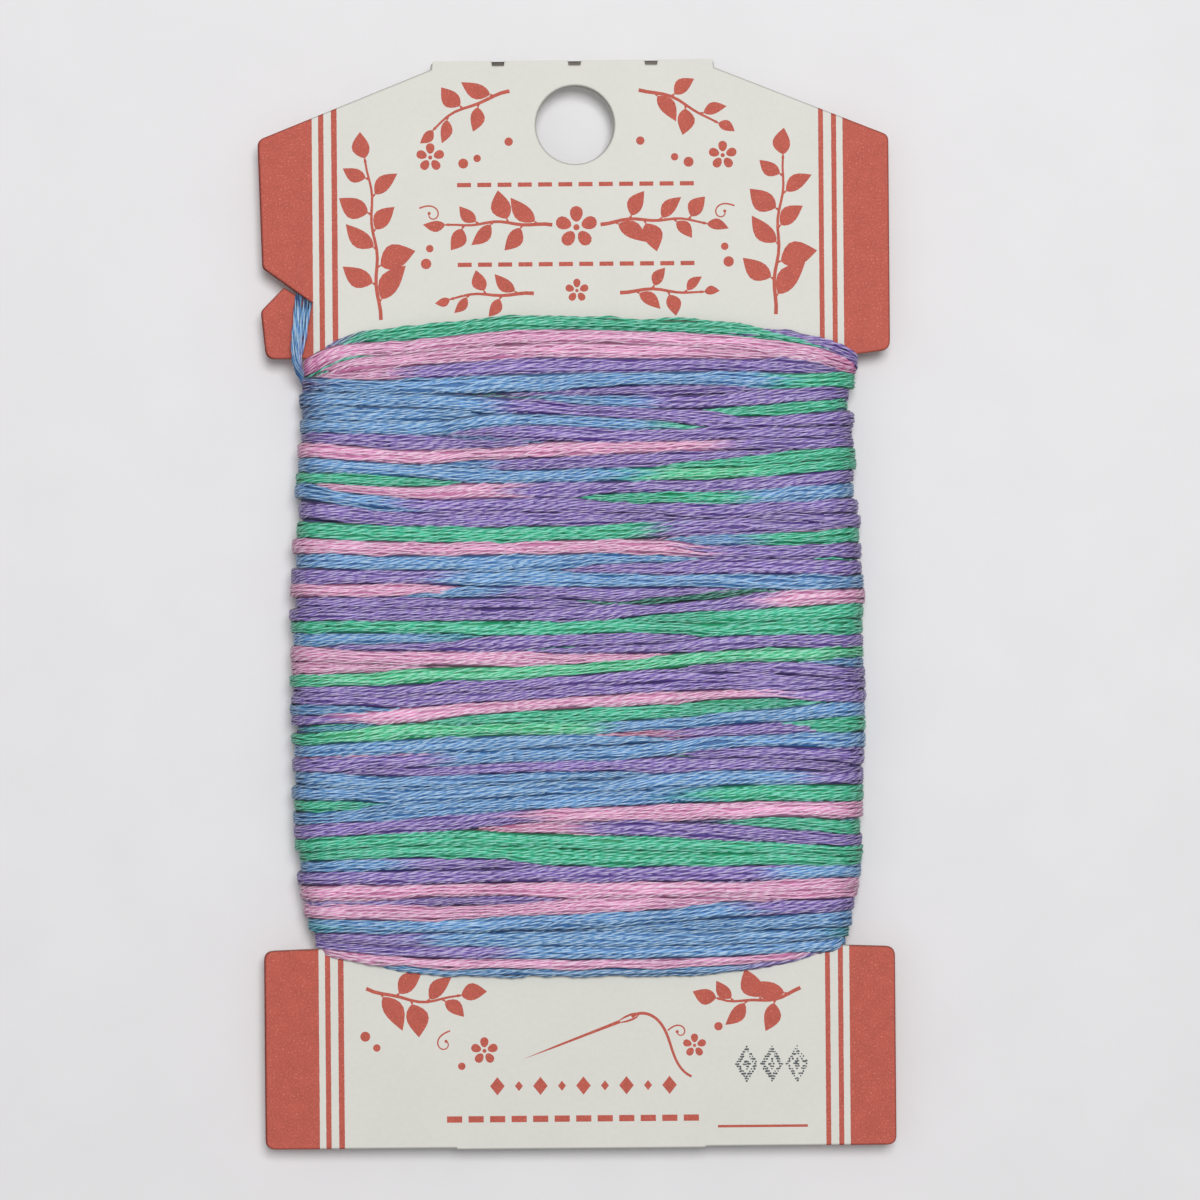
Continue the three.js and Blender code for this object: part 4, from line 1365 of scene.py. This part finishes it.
def addPrint():
    sheet = newPrint()
    for sprig in printed["sprigs"]:
        addSprig(sheet, *sprig)
    for flower in printed["flowers"]:
        addFlower(sheet, *flower)
    for berry in printed["berries"]:
        addRound(sheet, *berry)
    for tendril in printed["tendrils"]:
        addTendril(sheet, *tendril)
    for low, high, y, dash, gap, thick in printed["stitches"]:
        x = low
        while x + dash <= high:
            addDash(sheet, x, x + dash, y, thick)
            x += dash + gap
    low, high, y, count, half = printed["diamonds"]
    for k in range(count):
        x = low + (high - low) * k / (count - 1)
        reach = half * (1 if k % 2 == 0 else 0.55)
        addShape(sheet, [(x - reach * 0.8, y), (x, y - reach), (x + reach * 0.8, y), (x, y + reach)])
    addNeedle(sheet)
    addDash(sheet, *printed["rule"])
    return pieceFrom("printedSprigs", sheet["points"], sheet["faces"])


# a small rubber-stamped mark: three lozenges of worn dots, in mm
stamped = {
    "places": (13.1, 15.1, 17.1), "height": -36.4, "halfWidth": 0.85, "halfHeight": 1.35, "dots": 7,
    "gap": (0.3, 0.62),  # of the way out from a lozenge's middle: no dots between these
    "worn": 0.16, "uneven": 0.015, "dotRadius": (0.055, 0.1), "seed": 5,
}


def addStamp():
    sheet = newPrint()
    random = np.random.RandomState(stamped["seed"])
    dots = range(-stamped["dots"], stamped["dots"] + 1)
    for x in stamped["places"]:
        for row in dots:
            for column in dots:
                u, v = column / stamped["dots"], row / stamped["dots"]
                out = abs(u) + abs(v)
                inGap = stamped["gap"][0] < out < stamped["gap"][1]
                if out > 1 or inGap or random.uniform() < stamped["worn"]:
                    continue
                addRound(sheet, x + u * stamped["halfWidth"] + random.normal(0, stamped["uneven"]),
                         stamped["height"] + v * stamped["halfHeight"] + random.normal(0, stamped["uneven"]),
                         random.uniform(*stamped["dotRadius"]), 6)
    return pieceFrom("stampedMark", sheet["points"], sheet["faces"])


printedSprigs = addPrint()
stampedMark = addStamp()
for piece in (printedSprigs, stampedMark):
    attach(piece, "root")
print("card printed")


# the card's materials: grainy paper, and ink that lets some of it through
paperLooks = {
    "grainScale": 2600.0, "cloudScale": 260.0, "cloudShare": 0.8, "contrast": 0.08,
    "roughness": 0.6, "roughnessRange": 0.2, "specular": 0.25,
    "bumpDistance": 0.00002, "bumpStrength": 0.5,
    "cutContrast": 0.9, "cutSpecular": 0.2, "cutBump": 0.00005,
    # the first: how strongly wear and painted shade darken the pressed rim
    "rimWearAndShadeShare": 0.8, "faceSlope": 0.45,  # a steeper surface than this is a cut edge
}
inkLooks = {
    "fineScale": 7000.0, "broadScale": 900.0, "fineDepth": 0.7, "broadDepth": 0.3,
    "spotsFrom": 0.62, "spotsTo": 0.8, "spot": colour(232, 170, 156),
    "bandSpeckle": 0.5, "printSpeckle": 0.35, "stampSpeckle": 0.1,
    "ragScale": 3000.0, "rag": 0.00005,
}
cardColours = {"paper": colour(221, 221, 213), "edge": colour(196, 195, 188), "ink": colour(190, 93, 79),
               # the two rim colours: partly a worn edge, partly painted shade
               "stamp": colour(88, 92, 96), "paperRimWearAndShade": colour(150, 147, 140), "inkRimWearAndShade": colour(112, 50, 44),
               # cut: the paper in the fold's cuts, dark partly as torn paper and partly as painted shade
               "cut": colour(112, 106, 100)}

# the red bands and stripes, in mm: their middle and half their width
inkStripes = [(-22.85, 2.23), (-19.91, 0.21), (-18.875, 0.225), (19.575, 0.195), (20.6, 0.2), (23.2, 1.9)]


def paperGroup():
    group, given, result = newGroup(
        "paperGrain", {"Paper": (0.7, 0.7, 0.66, 1), "Contrast": paperLooks["contrast"]},
        ("Colour", "Roughness", "Height"),
    )
    place = overObject(group)
    grain = noise(group, place, paperLooks["grainScale"], 3.0)
    clouds = noise(group, place, paperLooks["cloudScale"], 4.0)
    both = varied(group, mathNode(group, "SUBTRACT", grain, 0.5), clouds, paperLooks["cloudShare"])
    light = mathNode(group, "MULTIPLY_ADD", both, given["Contrast"], 1.0)
    feed(group, result, {
        "Colour": shaded(group, given["Paper"], light),
        "Roughness": mathNode(group, "MULTIPLY_ADD", grain, paperLooks["roughnessRange"],
                              paperLooks["roughness"]),
        "Height": mathNode(group, "ADD", grain, clouds),
    })
    return group


def inkGroup():
    group, given, result = newGroup(
        "speckledInk", {"Ink": (0.5, 0.1, 0.07, 1), "Speckle": inkLooks["bandSpeckle"]}, ("Colour",))
    place = overObject(group)
    fine = noise(group, place, inkLooks["fineScale"])
    broad = noise(group, place, inkLooks["broadScale"], 4.0)
    spots = node(group, "ShaderNodeMapRange", {
        "Value": fine, "From Min": inkLooks["spotsFrom"], "From Max": inkLooks["spotsTo"],
    }).outputs[0]
    share = mathNode(group, "MULTIPLY", spots, given["Speckle"])
    spotted = mixColour(group, share, given["Ink"], inkLooks["spot"])
    cloud = varied(group, 1.0, broad, inkLooks["broadDepth"])
    light = varied(group, cloud, fine, inkLooks["fineDepth"])
    feed(group, result, {"Colour": shaded(group, spotted, light)})
    return group


paperGrain = paperGroup()
speckledInk = inkGroup()


def axisOf(tree, vector, axis):
    return node(tree, "ShaderNodeSeparateXYZ", {0: vector}).outputs[axis]


def faceMask(tree):
    # 1 on the card's faces, 0 on its cut edges
    normal = node(tree, "ShaderNodeTexCoord").outputs["Normal"]
    return mathNode(tree, "GREATER_THAN", mathNode(tree, "ABSOLUTE", axisOf(tree, normal, "Z")),
                    paperLooks["faceSlope"])


def stripesMask(tree, flat):
    # 1 on the bands and stripes, with slightly ragged edges
    place = overObject(tree)
    ragged = noise(tree, place, inkLooks["ragScale"])
    across = mathNode(tree, "MULTIPLY_ADD", ragged, inkLooks["rag"], axisOf(tree, place, "X"))
    mask = 0.0
    for middle, half in inkStripes:
        mask = mathNode(tree, "MAXIMUM", mask, mathNode(tree, "COMPARE", across, middle * mm, half * mm))
    return mathNode(tree, "MULTIPLY", mask, flat)


def rimWearAndShadeMask(tree, flat):
    # 1 on the outer line of the pressed edges, fading to 0 on the flat of either face: there wear and painted
    # shade darken the rim
    middle, half = (cardHigh.z + cardLow.z) / 2 * mm, (cardHigh.z - cardLow.z) / 2 * mm
    height = axisOf(tree, overObject(tree), "Z")
    away = mathNode(tree, "ABSOLUTE", mathNode(tree, "SUBTRACT", height, middle))
    below = mathNode(tree, "SUBTRACT", half, away)
    drop = mathNode(tree, "DIVIDE", below, cardBlank["rimDrop"] * mm, clamp=True)
    return mathNode(tree, "MULTIPLY", drop, flat)


def cardMaterial():
    material, tree, shader = newMaterial("printedCard", {"Specular IOR Level": paperLooks["specular"]})
    flat = faceMask(tree)
    mask = stripesMask(tree, flat)
    base = mixColour(tree, flat, cardColours["edge"], cardColours["paper"])
    paper = grouped(tree, paperGrain, {"Paper": base})
    ink = grouped(tree, speckledInk, {"Ink": cardColours["ink"]})
    face = mixColour(tree, mask, paper["Colour"], ink["Colour"])
    rim = mixColour(tree, mask, cardColours["paperRimWearAndShade"], cardColours["inkRimWearAndShade"])
    # wear and painted shade along the pressed rim
    rimWearAndShadeShare = mathNode(tree, "MULTIPLY", rimWearAndShadeMask(tree, flat), paperLooks["rimWearAndShadeShare"])
    feed(tree, shader, {
        "Base Color": mixColour(tree, rimWearAndShadeShare, face, rim),
        "Roughness": paper["Roughness"],
        "Normal": bumped(tree, paper["Height"], paperLooks["bumpDistance"], paperLooks["bumpStrength"]),
    })
    return material


def cutShadeMaterial():
    # the paper inside the cuts in the fold, coloured dark: partly torn paper, partly painted shade
    material, tree, shader = newMaterial("cutFoldShade", {"Specular IOR Level": paperLooks["cutSpecular"]})
    paper = grouped(tree, paperGrain, {"Paper": cardColours["cut"], "Contrast": paperLooks["cutContrast"]})
    feed(tree, shader, {
        "Base Color": paper["Colour"],
        "Roughness": paper["Roughness"],
        "Normal": bumped(tree, paper["Height"], paperLooks["cutBump"]),
    })
    return material


def inkMaterial(name, tint, speckle):
    material, tree, shader = newMaterial(name, {"Specular IOR Level": paperLooks["specular"]})
    ink = grouped(tree, speckledInk, {"Ink": tint, "Speckle": speckle})
    feed(tree, shader, {
        "Base Color": ink["Colour"],
        "Roughness": grouped(tree, paperGrain)["Roughness"],
    })
    return material


printedCard = cardMaterial()
for piece in (frontLeaf, backLeaf, cardFold):
    piece.data.materials.append(printedCard)
cardFoldCutsShade.data.materials.append(cutShadeMaterial())
printedSprigs.data.materials.append(inkMaterial("redInk", cardColours["ink"], inkLooks["printSpeckle"]))
stampedMark.data.materials.append(inkMaterial("stampInk", cardColours["stamp"], inkLooks["stampSpeckle"]))
print("card finished")


# floor and light
studio = {
    "keyPower": 1.17, "keySize": 0.14, "keyFrom": (0.04, 0.09, 0.41),
    "fillPower": 0.12, "fillSize": 0.4, "fillFrom": (-0.2, 0.02, 0.36),
    "worldColour": colour(225, 224, 226), "worldStrength": 0.39,
    "floorSize": 1.6, "floorCloud": 130.0, "floorColours": (colour(230, 229, 230), colour(238, 237, 238)),
    "floorSpecular": 0.2, "floorRoughness": 0.6, "floorRoughnessRange": 0.2,
}


def addFloor():
    bpy.ops.mesh.primitive_plane_add(size=studio["floorSize"], location=(0, 0, 0))
    floor = bpy.context.object
    floor.name = "floor"
    material, tree, shader = newMaterial("paleTable", {"Specular IOR Level": studio["floorSpecular"]})
    clouds = noise(tree, overObject(tree), studio["floorCloud"], 4.0)
    feed(tree, shader, {
        "Base Color": mixColour(tree, clouds, *studio["floorColours"]),
        "Roughness": mathNode(tree, "MULTIPLY_ADD", clouds, studio["floorRoughnessRange"],
                              studio["floorRoughness"]),
    })
    floor.data.materials.append(material)


def addLamp(name, power, size, place):
    turn = (-Vector(place)).to_track_quat("-Z", "Y").to_euler()
    bpy.ops.object.light_add(type="AREA", location=place, rotation=turn)
    lamp = bpy.context.object
    lamp.name = name
    lamp.data.energy = power
    lamp.data.size = size


def addWorld():
    world = bpy.data.worlds.new("softRoom")
    world.use_nodes = True
    sky = world.node_tree.nodes["Background"]
    sky.inputs["Color"].default_value = studio["worldColour"]
    sky.inputs["Strength"].default_value = studio["worldStrength"]
    bpy.context.scene.world = world


addFloor()
addLamp("keyLight", studio["keyPower"], studio["keySize"], studio["keyFrom"])
addLamp("fillLight", studio["fillPower"], studio["fillSize"], studio["fillFrom"])
addWorld()
bpy.context.scene.view_settings.view_transform = "Standard"
print("floor and lights set")
